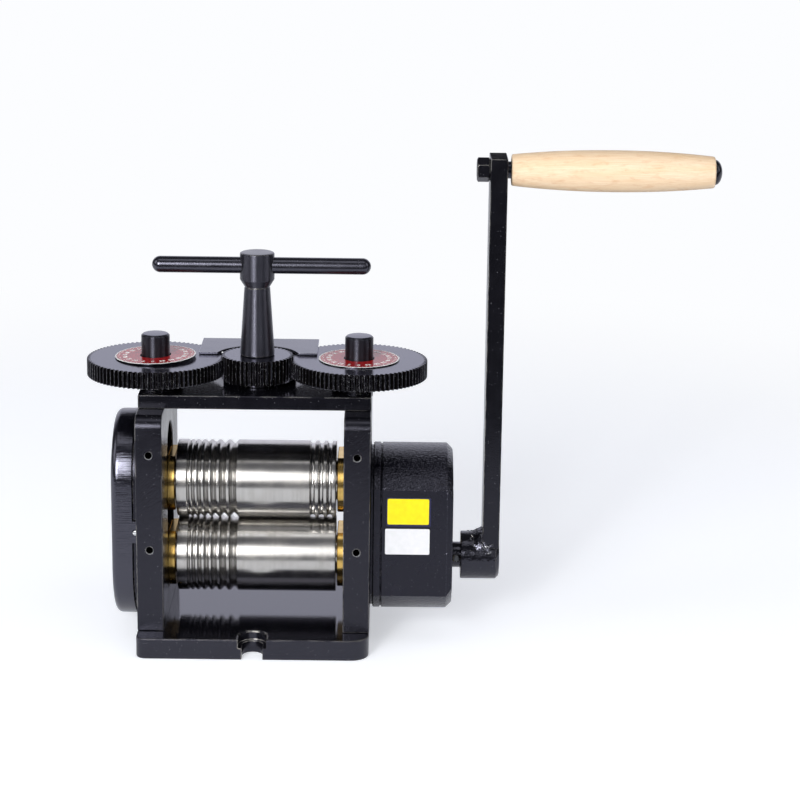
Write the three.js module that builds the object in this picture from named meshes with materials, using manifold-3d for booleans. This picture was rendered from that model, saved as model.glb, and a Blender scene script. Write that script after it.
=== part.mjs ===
// Hand cranked jewellers' rolling mill: a black steel frame with two hardened rolls, a geared crank on the
// right, a gear cover on the left and two adjusting screws turned together by a tee handle on top.
// Millimetres. +X to the mill's right, +Y away from the operator, +Z up, z = 0 at the underside of the base.
import * as THREE from 'three';
import { mergeVertices } from 'three/addons/utils/BufferGeometryUtils.js';
import Module from 'manifold-3d';

const wasm = await Module();
wasm.setup();

// Fits, each one per side
const faceGap = 0.05; // between two flat faces that bear on each other
const staticGap = 0.12; // between two pieces that are fixed together
const runningGap = 0.1; // between a shaft and its bush
const airGap = 0.6; // between pieces that pass each other freely
const reach = 1; // how far a cutting shape runs past the surface that it opens

// Sides of a round surface: a bore has more than the shaft in it, so that they never touch
const boreSides = 24;
const turnedSides = 20;
const smallSides = 10;

// Rolls
const rollFace = 76;
const rollRadius = 18.5;
const rollNip = 0.45; // opening between the rolls at rest
const rollEdge = 0.3;
const liftTravel = 5; // how far the upper roll rises above its rest place
const journalRadius = 10;
const veeGrooves = [
  // centre and width, as parts of the roll face; each is as deep as half its width
  [-0.425, 0.02],
  [-0.3934, 0.0237],
  [-0.3553, 0.0276],
  [-0.3118, 0.033],
  [-0.2645, 0.038],
  [-0.208, 0.0447],
  [-0.1447, 0.05],
];
const roundGrooves = [0.3526, 0.4066, 0.4592];
const roundGrooveRadius = 1.3;

// Bushes
const bushWall = 5.6;
const bushFlatWall = 3.4; // wall between the bore and the flat on top or underneath
const bushFlangeThick = 3.4;
const bushFlangeRim = 1.2;
const rollEndGap = 0.675; // between the end of a roll and a bush

// Frame
const plateThick = 12.5;
const plateHalfDepth = 41;
const plateCornerRadius = 5.9;
const plateRoof = 12.9; // height of the side plate above its window
const plateSill = 12.75; // height of the side plate below its window
const windowRoom = 0.3; // above the upper bush at the top of its travel
const baseThick = 10;
const baseLedge = 11; // how far the base stands out in front of the side plates
const baseCornerRadius = 8.5;
const bridgeHalfDepth = 25;
const bridgeThick = 6.5;
const slotInset = 6;
const slotRadius = 4.9;
const slotSeatRim = 1.8;
const slotSeatDepth = 4.3;
const tapHoleRadius = 1.6;
const tapHoleChamfer = 0.6;
const tapHoleDepth = 12;
const tapHoleAboveSill = 26.95;
const tapHoleBelowTop = 18.4;

// Lift springs
const springCoilRadius = 4;
const springWireRadius = 0.6;
const springTurns = 4;
const springStepsPerTurn = 8;
const springPocketDepth = 1.5;

// Adjusting gears
const dialTeeth = 85;
const pinionTeeth = 44;
const dialGearLift = 4.4; // from the bridge up to the toothed disc
const dialGearThick = 8.1;
const dialGearHub = 13;
const pinionLift = 2.5;
const pinionThick = 11.7;
const pinionHub = 9.5;
const dialRadius = 19.2;
const dialThick = 0.6;

// Adjusting screws
const stemRadius = 6.75;
const stemFlat = 5.6;
const stemRise = 24.1; // above the bridge
const stemChamfer = 0.9;
const threadRadius = 5;

// Tee handle
const spindleRadius = 5;
const spindleFlat = 4;
const spindleGrip = 14; // how far the spindle reaches into the tee
const spindleWellRadius = 6.6;
const spindleWellDepth = 2.5;
const teeFootRadius = 8.2;
const teeNeckRadius = 6;
const teeHeadRadius = 8.15;
const teeNeckRise = 33.2;
const teeHeadRise = 36.4;
const teeRise = 49.3;
const teeBarDrop = 6.3; // from the top of the tee to the bar's axis
const teeBarRadius = 3.9;
const teeBarLeft = 49.5;
const teeBarRight = 53.6;

// Index plate
const indexHalfWidthGap = 0.9;
const indexFrontY = 5;
const indexBackY = 34.7;
const indexNotchGap = 2.85;
const indexThick = 1;
const indexBlockHalfWidth = 17.6;

// Roll gears and their cover, on the left
const rollGearTeeth = 12;
const rollGearAddendum = 3.4;
const rollGearDedendum = 3.8;
const rollGearThick = 6.5;
const gearSeatRadius = 8.5;
const gearSeatFlat = 7.3;
const coverPlateThick = 2.8;
const coverDepth = 10.25;
const coverWall = 2.8;
const coverRoom = 5.1; // between the roll gears and the cover
const coverRise = 3.5; // the cover's upper arc sits at mid travel of the upper roll
const coverEdgeRadius = 3.4;
const coverPlateInset = 1.4;
const coverLugHalf = 5.5;
const coverScrewRadius = 1;

// Reduction gears, on the right
const stageModule = 1.25;
const smallTeeth = 15;
const largeTeeth = 30;
const outputGearThick = 8.5;
const inputGearThick = 8.5;
const gearStep = 3.5; // along the shafts, between the two pairs of gears
const outputSeatRadius = 8;
const outputSeatFlat = 6.8;
const layPinRadius = 4;
const layBodyRadius = 6.5;
const shaftRadius = 6.2;
const pilotRadius = 4;
const pilotLength = 6;

// Gearbox
const drumWall = 3.8;
const drumRoom = 2.3; // above and below the gears
const drumSideRoom = 6.6; // in front of the gears and behind them
const drumRise = 0.9;
const drumChamfer = 3;
const jointChamfer = 0.35;
const gearboxStep = 1.3;
const gearboxPlateThick = 5.1;
const gearboxEndWall = 4.2;
const gearboxDepth = 34;
const inputBushWall = 3.3;
const bossWall = 2.6;
const boxScrewInset = 6.5;
const boxScrew = { shank: 2, head: 3.5 };

// Crank
const hubGap = 4.5; // shaft seen between the gearbox and the hub
const hubRadius = 11.4;
const hubLength = 18.6;
const hubChamfer = 1.6;
const hubScrewRadius = 2.5;
const hubScrewInset = 5.2;
const shaftPinRadius = 1.9;
const armThick = 8;
const armHalfWidth = 10;
const armEdge = 0.5;
const armInset = 0.2; // the hub's end stands out this far past the arm
const armTip = 6.5; // arm above the grip's axis
const crankThrow = 188.65;
const weldBead = 2.1;

// Grip
const gripGap = 2;
const gripLength = 94.8;
const gripEndRadius = 7.4;
const gripMidRadius = 9.75;
const gripBoltRadius = 4;
const gripScrewRadius = 3; // the bolt's threaded end, in the arm and the nut
const gripCapRadius = 5.9;
const gripCapThick = 3.3;
const nutAcrossFlats = 10;
const nutThick = 6.1;

// Countersunk screws, and how far they stand from the middle of the mill
const bridgeScrew = { shank: 2.5, head: 4.6, depth: 2.6, length: 16 };
const baseScrew = { shank: 3, head: 5.6, depth: 2.9, length: 26.5 };
const indexScrew = { shank: 2, head: 3.8, depth: 2, length: 15 };
const bridgeScrewY = 19;
const baseScrewY = 32;
const indexScrewX = 11;
const headSink = 0.1; // how far a countersunk head sits below its surface

// Places that follow, along x
const bushRadius = journalRadius + bushWall;
const bushFlat = journalRadius + bushFlatWall;
const bushStartX = rollFace / 2 + rollEndGap;
const plateInnerX = bushStartX + bushFlangeThick + faceGap;
const plateOuterX = plateInnerX + plateThick;
const screwX = plateInnerX + plateThick / 2;
const dialModule = (2 * screwX) / (dialTeeth + pinionTeeth);
const coverInnerX = plateOuterX + coverPlateThick;
const coverOuterX = coverInnerX + coverDepth;
const rollGearInnerX = coverInnerX + airGap;
const rollGearOuterX = rollGearInnerX + rollGearThick;
const outputGearX = plateOuterX + gearboxPlateThick + 4 * airGap;
const outputGearEndX = outputGearX + outputGearThick;
const inputGearX = outputGearEndX + gearStep;
const inputGearEndX = inputGearX + inputGearThick;
const gearboxSplitX = plateOuterX + gearboxPlateThick;
const gearboxEndX = gearboxSplitX + gearboxDepth;
const gearboxFloorX = gearboxEndX - gearboxEndWall;
const hubStartX = gearboxEndX + hubGap;
const hubEndX = hubStartX + hubLength;
const hubScrewX = hubStartX + hubScrewInset;
const shaftPinX = gearboxEndX + hubGap / 2;
const armOuterX = hubEndX - armInset;
const armInnerX = armOuterX - armThick;
const gripStartX = armOuterX + gripGap;
const gripEndX = gripStartX + gripLength;

// Places that follow, along z
const lowerAxisZ = baseThick + plateSill + bushFlat;
const upperAxisZ = lowerAxisZ + 2 * rollRadius + rollNip;
const windowHalf = bushRadius + runningGap;
const windowArchZ = upperAxisZ + liftTravel + bushFlat / 2 + windowRoom;
const plateTopZ = windowArchZ + windowHalf + plateRoof;
const bridgeTopZ = plateTopZ + bridgeThick;
const gearFootZ = bridgeTopZ + dialGearLift;
const gearTopZ = gearFootZ + dialGearThick;
const pinionFootZ = bridgeTopZ + pinionLift;
const pinionTopZ = pinionFootZ + pinionThick;
const teeFootZ = pinionTopZ + 2 * runningGap;
const teeTopZ = teeFootZ + teeRise;
const teeBarZ = teeTopZ - teeBarDrop;
const gripAxisZ = lowerAxisZ + crankThrow;
const stageDistance = (stageModule * (smallTeeth + largeTeeth)) / 2;
const layAxisZ = lowerAxisZ + stageDistance;
const largeTipRadius = stageModule * (largeTeeth / 2 + 0.85);
const drumAxisZ = lowerAxisZ + stageDistance / 2 + drumRise;
const drumRadius = stageDistance / 2 + largeTipRadius + drumRoom + drumWall;
const drumFlat = largeTipRadius + drumSideRoom + drumWall;
const rollGearPitchRadius = (upperAxisZ - lowerAxisZ - rollNip) / 2 + runningGap;
const rollGearTipRadius = rollGearPitchRadius + rollGearAddendum;
const coverRadius = rollGearTipRadius + coverRoom + coverWall;
const coverHighZ = upperAxisZ + coverRise;
const coverLugZ = (lowerAxisZ + upperAxisZ) / 2;

// Places that follow, along y
const baseHalfDepth = plateHalfDepth + baseLedge;
const slotCentreY = baseHalfDepth - slotInset;
const pinionTipRadius = dialModule * (pinionTeeth / 2 + 0.85);
const indexBlockY = [pinionTipRadius + airGap, bridgeHalfDepth];
const indexHalfWidth = screwX - dialRadius - indexHalfWidthGap;

const sides = { left: -1, right: 1 };

// Outlines, as lists of [u, v] points

function circle(radius, segments, centre = [0, 0]) {
  return Array.from({ length: segments }, (_, i) => {
    const angle = (i * 2 * Math.PI) / segments;
    return [centre[0] + radius * Math.cos(angle), centre[1] + radius * Math.sin(angle)];
  });
}

function arc(radius, fromDegrees, toDegrees, steps, centre = [0, 0]) {
  return Array.from({ length: steps + 1 }, (_, i) => {
    const angle = ((fromDegrees + ((toDegrees - fromDegrees) * i) / steps) * Math.PI) / 180;
    return [centre[0] + radius * Math.cos(angle), centre[1] + radius * Math.sin(angle)];
  });
}

function rectangle(u0, u1, v0, v1) {
  return [[u0, v0], [u1, v0], [u1, v1], [u0, v1]];
}

function roundedRectangle(halfU, halfV, radius, steps) {
  const u = halfU - radius;
  const v = halfV - radius;
  return [
    ...arc(radius, 0, 90, steps, [u, v]),
    ...arc(radius, 90, 180, steps, [-u, v]),
    ...arc(radius, 180, 270, steps, [-u, -v]),
    ...arc(radius, 270, 360, steps, [u, -v]),
  ];
}

// a circle with two flats, above and below its centre
function doubleD(radius, flat, steps, centre) {
  const edge = (Math.asin(flat / radius) * 180) / Math.PI;
  const right = arc(radius, -edge, edge, steps, centre);
  const left = arc(radius, 180 - edge, 180 + edge, steps, centre);
  return [...right, ...left];
}

// a circle with one flat on its +v side
function singleD(radius, flat, centre = [0, 0]) {
  const edge = (Math.acos(flat / radius) * 180) / Math.PI;
  return arc(radius, 90 + edge, 450 - edge, turnedSides, centre);
}

// two half circles joined by straight sides, one above the other
function obround(radius, lowV, highV) {
  return [...arc(radius, 0, 180, 12, [0, highV]), ...arc(radius, 180, 360, 12, [0, lowV])];
}

// every tooth is the same row of [radius, part of the tooth pitch] points
function toothed(teeth, tooth, phaseDegrees, centre) {
  const points = [];
  for (let i = 0; i < teeth; i += 1) {
    for (const [radius, share] of tooth) {
      const angle = (phaseDegrees * Math.PI) / 180 + ((i + share) * 2 * Math.PI) / teeth;
      points.push([centre[0] + radius * Math.cos(angle), centre[1] + radius * Math.sin(angle)]);
    }
  }
  return points;
}

// a gear of a given module, with narrow tips and pointed roots, which leaves it play in mesh
function gearOutline(module, teeth, phaseDegrees, centre = [0, 0]) {
  const pitchRadius = (module * teeth) / 2;
  const tip = pitchRadius + 0.85 * module;
  const tipShare = (0.1 * pitchRadius) / tip;
  const tooth = [[tip, -tipShare], [tip, tipShare], [pitchRadius - 1.6 * module, 0.5]];
  return toothed(teeth, tooth, phaseDegrees, centre);
}

// the two roll gears have long teeth, which stay in mesh while the upper roll rises
function rollGearOutline(phaseDegrees, centre) {
  const rootRadius = rollGearPitchRadius - rollGearDedendum;
  const flank = [[rootRadius, 0.29], [rollGearPitchRadius, 0.2], [rollGearTipRadius, 0.076]];
  const tooth = [...flank.map(([radius, share]) => [radius, -share]), ...flank.reverse()];
  return toothed(rollGearTeeth, tooth, phaseDegrees, centre);
}

// Solids

function toSolid(geometry) {
  geometry.deleteAttribute('normal');
  geometry.deleteAttribute('uv');
  const welded = mergeVertices(geometry, 1e-5);
  const index = welded.index.array;
  const kept = [];
  for (let i = 0; i < index.length; i += 3) {
    const [a, b, c] = [index[i], index[i + 1], index[i + 2]];
    if (a !== b && b !== c && c !== a) kept.push(a, b, c);
  }
  const vertProperties = Float32Array.from(welded.attributes.position.array);
  return new wasm.Manifold(new wasm.Mesh({ numProp: 3, vertProperties, triVerts: Uint32Array.from(kept) }));
}

// where the local x, y and z of an outline extruded along each axis go; along y its u is -X
const directions = {
  x: [new THREE.Vector3(0, 1, 0), new THREE.Vector3(0, 0, 1), new THREE.Vector3(1, 0, 0)],
  y: [new THREE.Vector3(-1, 0, 0), new THREE.Vector3(0, 0, 1), new THREE.Vector3(0, 1, 0)],
  z: [new THREE.Vector3(1, 0, 0), new THREE.Vector3(0, 1, 0), new THREE.Vector3(0, 0, 1)],
};

// an outline drawn across an axis and extruded between two places on it, given in either order
function prism(axis, outline, from, to, chamfer = 0, chamferSteps = 1) {
  const [low, high] = [Math.min(from, to), Math.max(from, to)];
  const shape = new THREE.Shape(outline.map(([u, v]) => new THREE.Vector2(u, v)));
  const geometry = new THREE.ExtrudeGeometry(shape, {
    depth: high - low - 2 * chamfer,
    bevelEnabled: chamfer > 0,
    bevelThickness: chamfer,
    bevelSize: chamfer,
    bevelOffset: -chamfer,
    bevelSegments: chamferSteps,
  });
  geometry.translate(0, 0, low + chamfer);
  geometry.applyMatrix4(new THREE.Matrix4().makeBasis(...directions[axis]));
  return toSolid(geometry);
}

function rod(axis, radius, from, to, centre = [0, 0], segments = boreSides) {
  return prism(axis, circle(radius, segments, centre), from, to);
}

// a profile of [radius, place along the axis] pairs, turned round an axis through the given point
function turned(axis, profile, centre = [0, 0], segments = turnedSides) {
  const geometry = new THREE.LatheGeometry(profile.map(([r, a]) => new THREE.Vector2(r, a)), segments);
  if (axis === 'z') {
    geometry.rotateX(Math.PI / 2);
    geometry.translate(centre[0], centre[1], 0);
  } else {
    geometry.rotateZ(-Math.PI / 2);
    geometry.translate(0, centre[0], centre[1]);
  }
  return toSolid(geometry);
}

// a block between two corners, given in any order
function box(from, to) {
  const sizes = from.map((low, i) => Math.abs(to[i] - low));
  const geometry = new THREE.BoxGeometry(...sizes);
  geometry.translate(...from.map((low, i) => (low + to[i]) / 2));
  return toSolid(geometry);
}

function join(first, ...others) {
  return others.reduce((sum, other) => sum.add(other), first);
}

function cut(first, ...others) {
  return others.reduce((rest, other) => rest.subtract(other), first);
}

// Assemblies

const finishes = {
  paint: { color: '#2b2c30', roughness: 0.45, metalness: 0.1 },
  gloss: { color: '#1c1d20', roughness: 0.15, metalness: 0.1 },
  blackSteel: { color: '#2e2f31', roughness: 0.45, metalness: 0.7 },
  steel: { color: '#b9bbbd', roughness: 0.18, metalness: 1 },
  zinc: { color: '#c4c7ca', roughness: 0.35, metalness: 1 },
  bronze: { color: '#b98a3c', roughness: 0.3, metalness: 1 },
  dial: { color: '#9c2420', roughness: 0.35, metalness: 0 },
  wood: { color: '#e9cfa0', roughness: 0.55, metalness: 0 },
};

const mill = new THREE.Group();
mill.name = 'jewellers_rolling_mill';

function assembly(name) {
  const group = new THREE.Group();
  group.name = name;
  mill.add(group);
  return group;
}

const frame = assembly('frame');
const rolls = assembly('rolls');
const gearCover = assembly('gear_cover');
const gearbox = assembly('gearbox');
const crank = assembly('crank');
const adjuster = assembly('adjuster');

function add(group, name, finish, solid) {
  const { vertProperties, triVerts } = solid.getMesh();
  const geometry = new THREE.BufferGeometry();
  geometry.setAttribute('position', new THREE.BufferAttribute(vertProperties, 3));
  geometry.setIndex(new THREE.BufferAttribute(triVerts, 1));
  geometry.computeVertexNormals();
  const mesh = new THREE.Mesh(geometry, new THREE.MeshStandardMaterial(finishes[finish]));
  mesh.name = name;
  group.add(mesh);
}

// Countersunk screws, standing along z. In each set, up is 1 for heads on top and -1 for heads
// underneath, and headZ is the flat of the heads.

const screwSets = {
  bridge: {
    screw: bridgeScrew,
    finish: 'blackSteel',
    up: 1,
    headZ: bridgeTopZ - headSink,
    places: fourCorners(screwX, bridgeScrewY),
  },
  base: {
    screw: baseScrew,
    finish: 'zinc',
    up: -1,
    headZ: headSink,
    places: fourCorners(screwX, baseScrewY),
  },
  index: {
    screw: indexScrew,
    finish: 'blackSteel',
    up: -1,
    headZ: plateTopZ + headSink,
    places: Object.values(sides).map((side) => [side * indexScrewX, (indexBlockY[0] + indexBlockY[1]) / 2]),
  },
};

function fourCorners(u, v) {
  return [[-u, -v], [u, -v], [u, v], [-u, v]];
}

function countersunk({ screw, up, headZ }, place) {
  const profile = [
    [0, headZ - up * screw.length],
    [screw.shank, headZ - up * screw.length],
    [screw.shank, headZ - up * screw.depth],
    [screw.head, headZ],
    [0, headZ],
  ];
  const body = turned('z', up > 0 ? profile : profile.reverse(), place, smallSides);
  const socket = prism('z', circle(0.75 * screw.shank, 6, place), headZ, headZ - up * 0.8 * screw.depth);
  return cut(body, socket);
}

// the hole that such a screw sits in, a little larger all over and longer at both ends
function countersunkHole({ screw, up, headZ }, place) {
  const profile = [
    [0, headZ - up * (screw.length + reach)],
    [screw.shank + staticGap, headZ - up * (screw.length + reach)],
    [screw.shank + staticGap, headZ - up * (screw.depth + staticGap)],
    [screw.head + 2 * staticGap, headZ],
    [screw.head + 2 * staticGap, headZ + up * reach],
    [0, headZ + up * reach],
  ];
  return turned('z', up > 0 ? profile : profile.reverse(), place, smallSides);
}

function screwHoles(setName) {
  const set = screwSets[setName];
  return set.places.map((place) => countersunkHole(set, place));
}

function addScrews() {
  for (const [setName, set] of Object.entries(screwSets)) {
    set.places.forEach((place, i) => {
      add(frame, `${setName}_screw_${i + 1}`, set.finish, countersunk(set, place));
    });
  }
}

// Frame

// an open-ended slot in the base, wide at the top down to the seat for a bolt head or washer
function baseSlot(front) {
  const centre = [0, front * slotCentreY];
  const edge = front * (baseHalfDepth + reach);
  const outline = (radius) => {
    const round = arc(radius, front < 0 ? 0 : 180, front < 0 ? 180 : 360, 8, centre);
    return [...round, [round.at(-1)[0], edge], [round[0][0], edge]];
  };
  return join(
    prism('z', outline(slotRadius), -reach, baseThick + reach),
    prism('z', outline(slotRadius + slotSeatRim), baseThick - slotSeatDepth, baseThick + reach),
  );
}

function addBase() {
  const outline = roundedRectangle(plateOuterX, baseHalfDepth, baseCornerRadius, 5);
  const blank = prism('z', outline, 0, baseThick);
  add(frame, 'base_plate', 'paint', cut(blank, baseSlot(-1), baseSlot(1), ...screwHoles('base')));
}

function tapHole(x, front, z) {
  const mouth = front * plateHalfDepth;
  return join(
    rod('y', tapHoleRadius, mouth, mouth - front * tapHoleDepth, [-x, z], smallSides),
    rod('y', tapHoleRadius + tapHoleChamfer, mouth, mouth - front * tapHoleChamfer, [-x, z], smallSides),
  );
}

function plateOutline() {
  const y = plateHalfDepth - plateCornerRadius;
  const z = plateTopZ - plateCornerRadius;
  return [
    [-plateHalfDepth, baseThick],
    [plateHalfDepth, baseThick],
    ...arc(plateCornerRadius, 0, 90, 5, [y, z]),
    ...arc(plateCornerRadius, 90, 180, 5, [-y, z]),
  ];
}

function windowOutline() {
  return [
    [-windowHalf, lowerAxisZ - bushFlat],
    [windowHalf, lowerAxisZ - bushFlat],
    ...arc(windowHalf, 0, 180, 12, [0, windowArchZ]),
  ];
}

function boxScrewPlaces() {
  return fourCorners(drumFlat - boxScrewInset, drumFlat - boxScrewInset).map(([y, z]) => [y, drumAxisZ + z]);
}

function boxScrewHoles(from, to, radius = boxScrew.shank + staticGap) {
  return boxScrewPlaces().map((place) => rod('x', radius, from, to, place, smallSides));
}

function addSidePlate(name, side) {
  const blank = prism('x', plateOutline(), side * plateInnerX, side * plateOuterX);
  const tools = [
    prism('x', windowOutline(), side * (plateInnerX - reach), side * (plateOuterX + reach)),
    rod('z', threadRadius + runningGap, windowArchZ, plateTopZ + reach, [side * screwX, 0]),
    ...screwHoles('bridge'),
    ...screwHoles('base'),
  ];
  for (const z of [lowerAxisZ - bushFlat + tapHoleAboveSill, plateTopZ - tapHoleBelowTop]) {
    tools.push(tapHole(side * screwX, -1, z), tapHole(side * screwX, 1, z));
  }
  if (side === sides.right) tools.push(...boxScrewHoles(screwX - plateThick / 4, plateOuterX + reach));
  add(frame, name, 'paint', cut(blank, ...tools));
}

function addBridge() {
  const outline = rectangle(-plateOuterX, plateOuterX, -bridgeHalfDepth, bridgeHalfDepth);
  const tools = [...screwHoles('bridge'), ...screwHoles('index')];
  for (const side of Object.values(sides)) {
    const bore = stemRadius + 2 * staticGap;
    tools.push(rod('z', bore, plateTopZ - reach, bridgeTopZ + reach, [side * screwX, 0]));
  }
  tools.push(rod('z', spindleRadius + runningGap, plateTopZ - reach, bridgeTopZ + reach));
  tools.push(rod('z', spindleWellRadius, plateTopZ - reach, plateTopZ + spindleWellDepth));
  add(frame, 'top_bridge', 'paint', cut(prism('z', outline, plateTopZ, bridgeTopZ), ...tools));
}

// Bushes and springs

// inward is 1 when the flat with the spring pocket is the upper one and -1 when it is the lower one
function addBush(name, side, axisZ, inward) {
  const centre = [0, axisZ];
  const flangeEndX = plateInnerX - faceGap;
  const flangeRadius = bushRadius + bushFlangeRim;
  const flange = prism('x', doubleD(flangeRadius, bushFlat, 6, centre), side * bushStartX, side * flangeEndX);
  const body = prism('x', doubleD(bushRadius, bushFlat, 7, centre), side * (flangeEndX - reach),
    side * (plateOuterX - 2 * runningGap));
  const bore = rod('x', journalRadius + runningGap, side * (bushStartX - reach), side * (plateOuterX + reach),
    centre);
  const face = axisZ + inward * bushFlat;
  const pocketRadius = springCoilRadius + springWireRadius + airGap;
  const pocket = rod('z', pocketRadius, face - springPocketDepth, face + springPocketDepth,
    [side * screwX, 0], 16);
  add(frame, name, 'bronze', cut(join(flange, body), bore, pocket));
}

function addSpring(name, side) {
  const inset = springPocketDepth - springWireRadius - faceGap;
  const low = lowerAxisZ + bushFlat - inset;
  const high = upperAxisZ - bushFlat + inset;
  const steps = springTurns * springStepsPerTurn;
  const points = [];
  for (let i = 0; i <= steps; i += 1) {
    const angle = (i / springStepsPerTurn) * 2 * Math.PI;
    const x = side * screwX + springCoilRadius * Math.cos(angle);
    const y = springCoilRadius * Math.sin(angle);
    points.push(new THREE.Vector3(x, y, low + ((high - low) * i) / steps));
  }
  const wire = new THREE.Shape(circle(springWireRadius, 5).map(([u, v]) => new THREE.Vector2(u, v)));
  const path = new THREE.CatmullRomCurve3(points);
  add(frame, name, 'zinc', toSolid(new THREE.ExtrudeGeometry(wire, { steps, extrudePath: path })));
}

// Rolls and the gears that turn them together

function grooveProfile(withRoundGrooves) {
  const profile = [];
  for (const [middleShare, widthShare] of veeGrooves) {
    const middle = middleShare * rollFace;
    const half = (widthShare * rollFace) / 2;
    profile.push([rollRadius, middle - half], [rollRadius - half, middle], [rollRadius, middle + half]);
  }
  if (!withRoundGrooves) return profile;
  for (const middleShare of roundGrooves) {
    const round = arc(roundGrooveRadius, 180, 0, 2);
    profile.push(...round.map(([along, inward]) => [rollRadius - inward, middleShare * rollFace + along]));
  }
  return profile;
}

// both rolls have the same left end: a journal, then the seat of the roll gear
function rollProfile(withRoundGrooves, rightEnd) {
  const half = rollFace / 2;
  const shoulderX = rollGearInnerX - airGap / 2;
  return [
    [0, -rollGearOuterX - faceGap],
    [gearSeatRadius, -rollGearOuterX - faceGap],
    [gearSeatRadius, -shoulderX],
    [journalRadius, -shoulderX],
    [journalRadius, -half],
    [rollRadius - rollEdge, -half],
    [rollRadius, -half + rollEdge],
    ...grooveProfile(withRoundGrooves),
    [rollRadius, half - rollEdge],
    [rollRadius - rollEdge, half],
    [journalRadius, half],
    ...rightEnd,
  ];
}

// what is milled off a round seat to leave a flat on top, for a gear with a bore to match
function seatFlat(from, to, radius, flat, axisZ) {
  return box([from, -radius - reach, axisZ + flat], [to, radius + reach, axisZ + radius + reach]);
}

function addRolls() {
  const leftSeat = [-coverOuterX, -rollGearInnerX + airGap / 2, gearSeatRadius, gearSeatFlat];
  const seatX = outputGearX - airGap / 2;
  const endX = outputGearEndX + airGap;
  const lowerEnd = [[journalRadius, seatX], [outputSeatRadius, seatX], [outputSeatRadius, endX], [0, endX]];
  const lower = cut(
    turned('x', rollProfile(false, lowerEnd), [0, lowerAxisZ]),
    seatFlat(...leftSeat, lowerAxisZ),
    seatFlat(seatX, endX + reach, outputSeatRadius, outputSeatFlat, lowerAxisZ),
    rod('x', pilotRadius + runningGap, endX - pilotLength - reach, endX + reach, [0, lowerAxisZ]),
  );
  add(rolls, 'lower_roll', 'steel', lower);

  const upperX = plateOuterX - 3 * runningGap;
  const upperEnd = [[journalRadius, upperX], [0, upperX]];
  const upper = cut(
    turned('x', rollProfile(true, upperEnd), [0, upperAxisZ]),
    seatFlat(...leftSeat, upperAxisZ),
  );
  add(rolls, 'upper_roll', 'steel', upper);
}

// a tooth of the lower gear points straight up, into a gap of the upper one
function addRollGears() {
  const upperPhase = 270 + 180 / rollGearTeeth;
  for (const [name, axisZ, phase] of [['lower', lowerAxisZ, 90], ['upper', upperAxisZ, upperPhase]]) {
    const centre = [0, axisZ];
    const bore = singleD(gearSeatRadius + staticGap, gearSeatFlat + staticGap, centre);
    const disc = prism('x', rollGearOutline(phase, centre), -rollGearOuterX, -rollGearInnerX);
    const gear = cut(disc, prism('x', bore, -rollGearOuterX - reach, -rollGearInnerX + reach));
    add(rolls, `${name}_roll_gear`, 'steel', gear);
  }
}

// Left cover

const coverScrewX = -(plateOuterX + coverPlateThick / 2);

// a rod through the cover's edge at the lug, from one distance off the middle to another
function coverScrewRod(front, radius, from, to) {
  return rod('y', radius, front * from, front * to, [-coverScrewX, coverLugZ], smallSides);
}

function addCoverPlate() {
  const lugRoom = coverLugHalf + airGap / 2;
  const plateEdge = coverRadius - coverWall - airGap / 2;
  const [innerX, outerX] = [-plateOuterX + reach, -coverInnerX - reach];
  const opening = obround(journalRadius + 2 * airGap, lowerAxisZ, upperAxisZ + liftTravel);
  const tools = [prism('x', opening, innerX, outerX)];
  for (const front of [-1, 1]) {
    const [low, high] = [coverLugZ - lugRoom, coverLugZ + lugRoom];
    tools.push(box([innerX, front * plateEdge, low], [outerX, front * coverRadius, high]));
    tools.push(coverScrewRod(front, coverScrewRadius + staticGap, plateEdge - 9, coverRadius));
  }
  const outline = obround(coverRadius - coverPlateInset, lowerAxisZ, coverHighZ);
  const blank = prism('x', outline, -plateOuterX, -coverInnerX);
  add(gearCover, 'left_cover_plate', 'paint', cut(blank, ...tools));
}

function addCover() {
  const outline = obround(coverRadius, lowerAxisZ, coverHighZ);
  const hollow = prism('x', obround(coverRadius - coverWall, lowerAxisZ, coverHighZ),
    -rollGearOuterX - airGap, -coverInnerX + reach);
  let cover = cut(
    join(
      prism('x', outline, -coverOuterX, -coverInnerX, coverEdgeRadius, 3),
      prism('x', outline, -coverInnerX - coverDepth / 2, -coverInnerX),
    ),
    hollow,
  );
  for (const front of [-1, 1]) {
    const low = [-coverInnerX - reach, front * (coverRadius - coverWall), coverLugZ - coverLugHalf];
    const high = [-plateOuterX - 2 * faceGap, front * coverRadius, coverLugZ + coverLugHalf];
    cover = join(cover, box(low, high));
    const hole = coverScrewRod(front, coverScrewRadius + staticGap, coverRadius - coverWall - reach,
      coverRadius + reach);
    cover = cut(cover, hole);
  }
  add(gearCover, 'left_cover', 'gloss', cover);
}

function addCoverScrews() {
  for (const [name, front] of [['cover_screw_front', -1], ['cover_screw_back', 1]]) {
    const headRadius = coverPlateThick / 2 - 2 * faceGap;
    const head = coverScrewRod(front, headRadius, coverRadius + faceGap, coverRadius + reach);
    const tipY = coverRadius - 3.5 * coverWall;
    const shank = coverScrewRod(front, coverScrewRadius, tipY, coverRadius + reach / 2);
    add(gearCover, name, 'zinc', join(head, shank));
  }
}

// Gearbox

function drumOutline(inset = 0) {
  const radius = drumRadius - inset;
  const edge = (Math.acos((drumFlat - inset) / radius) * 180) / Math.PI;
  const centre = [0, drumAxisZ];
  return [...arc(radius, edge, 180 - edge, 8, centre), ...arc(radius, 180 + edge, 360 - edge, 8, centre)];
}

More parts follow.
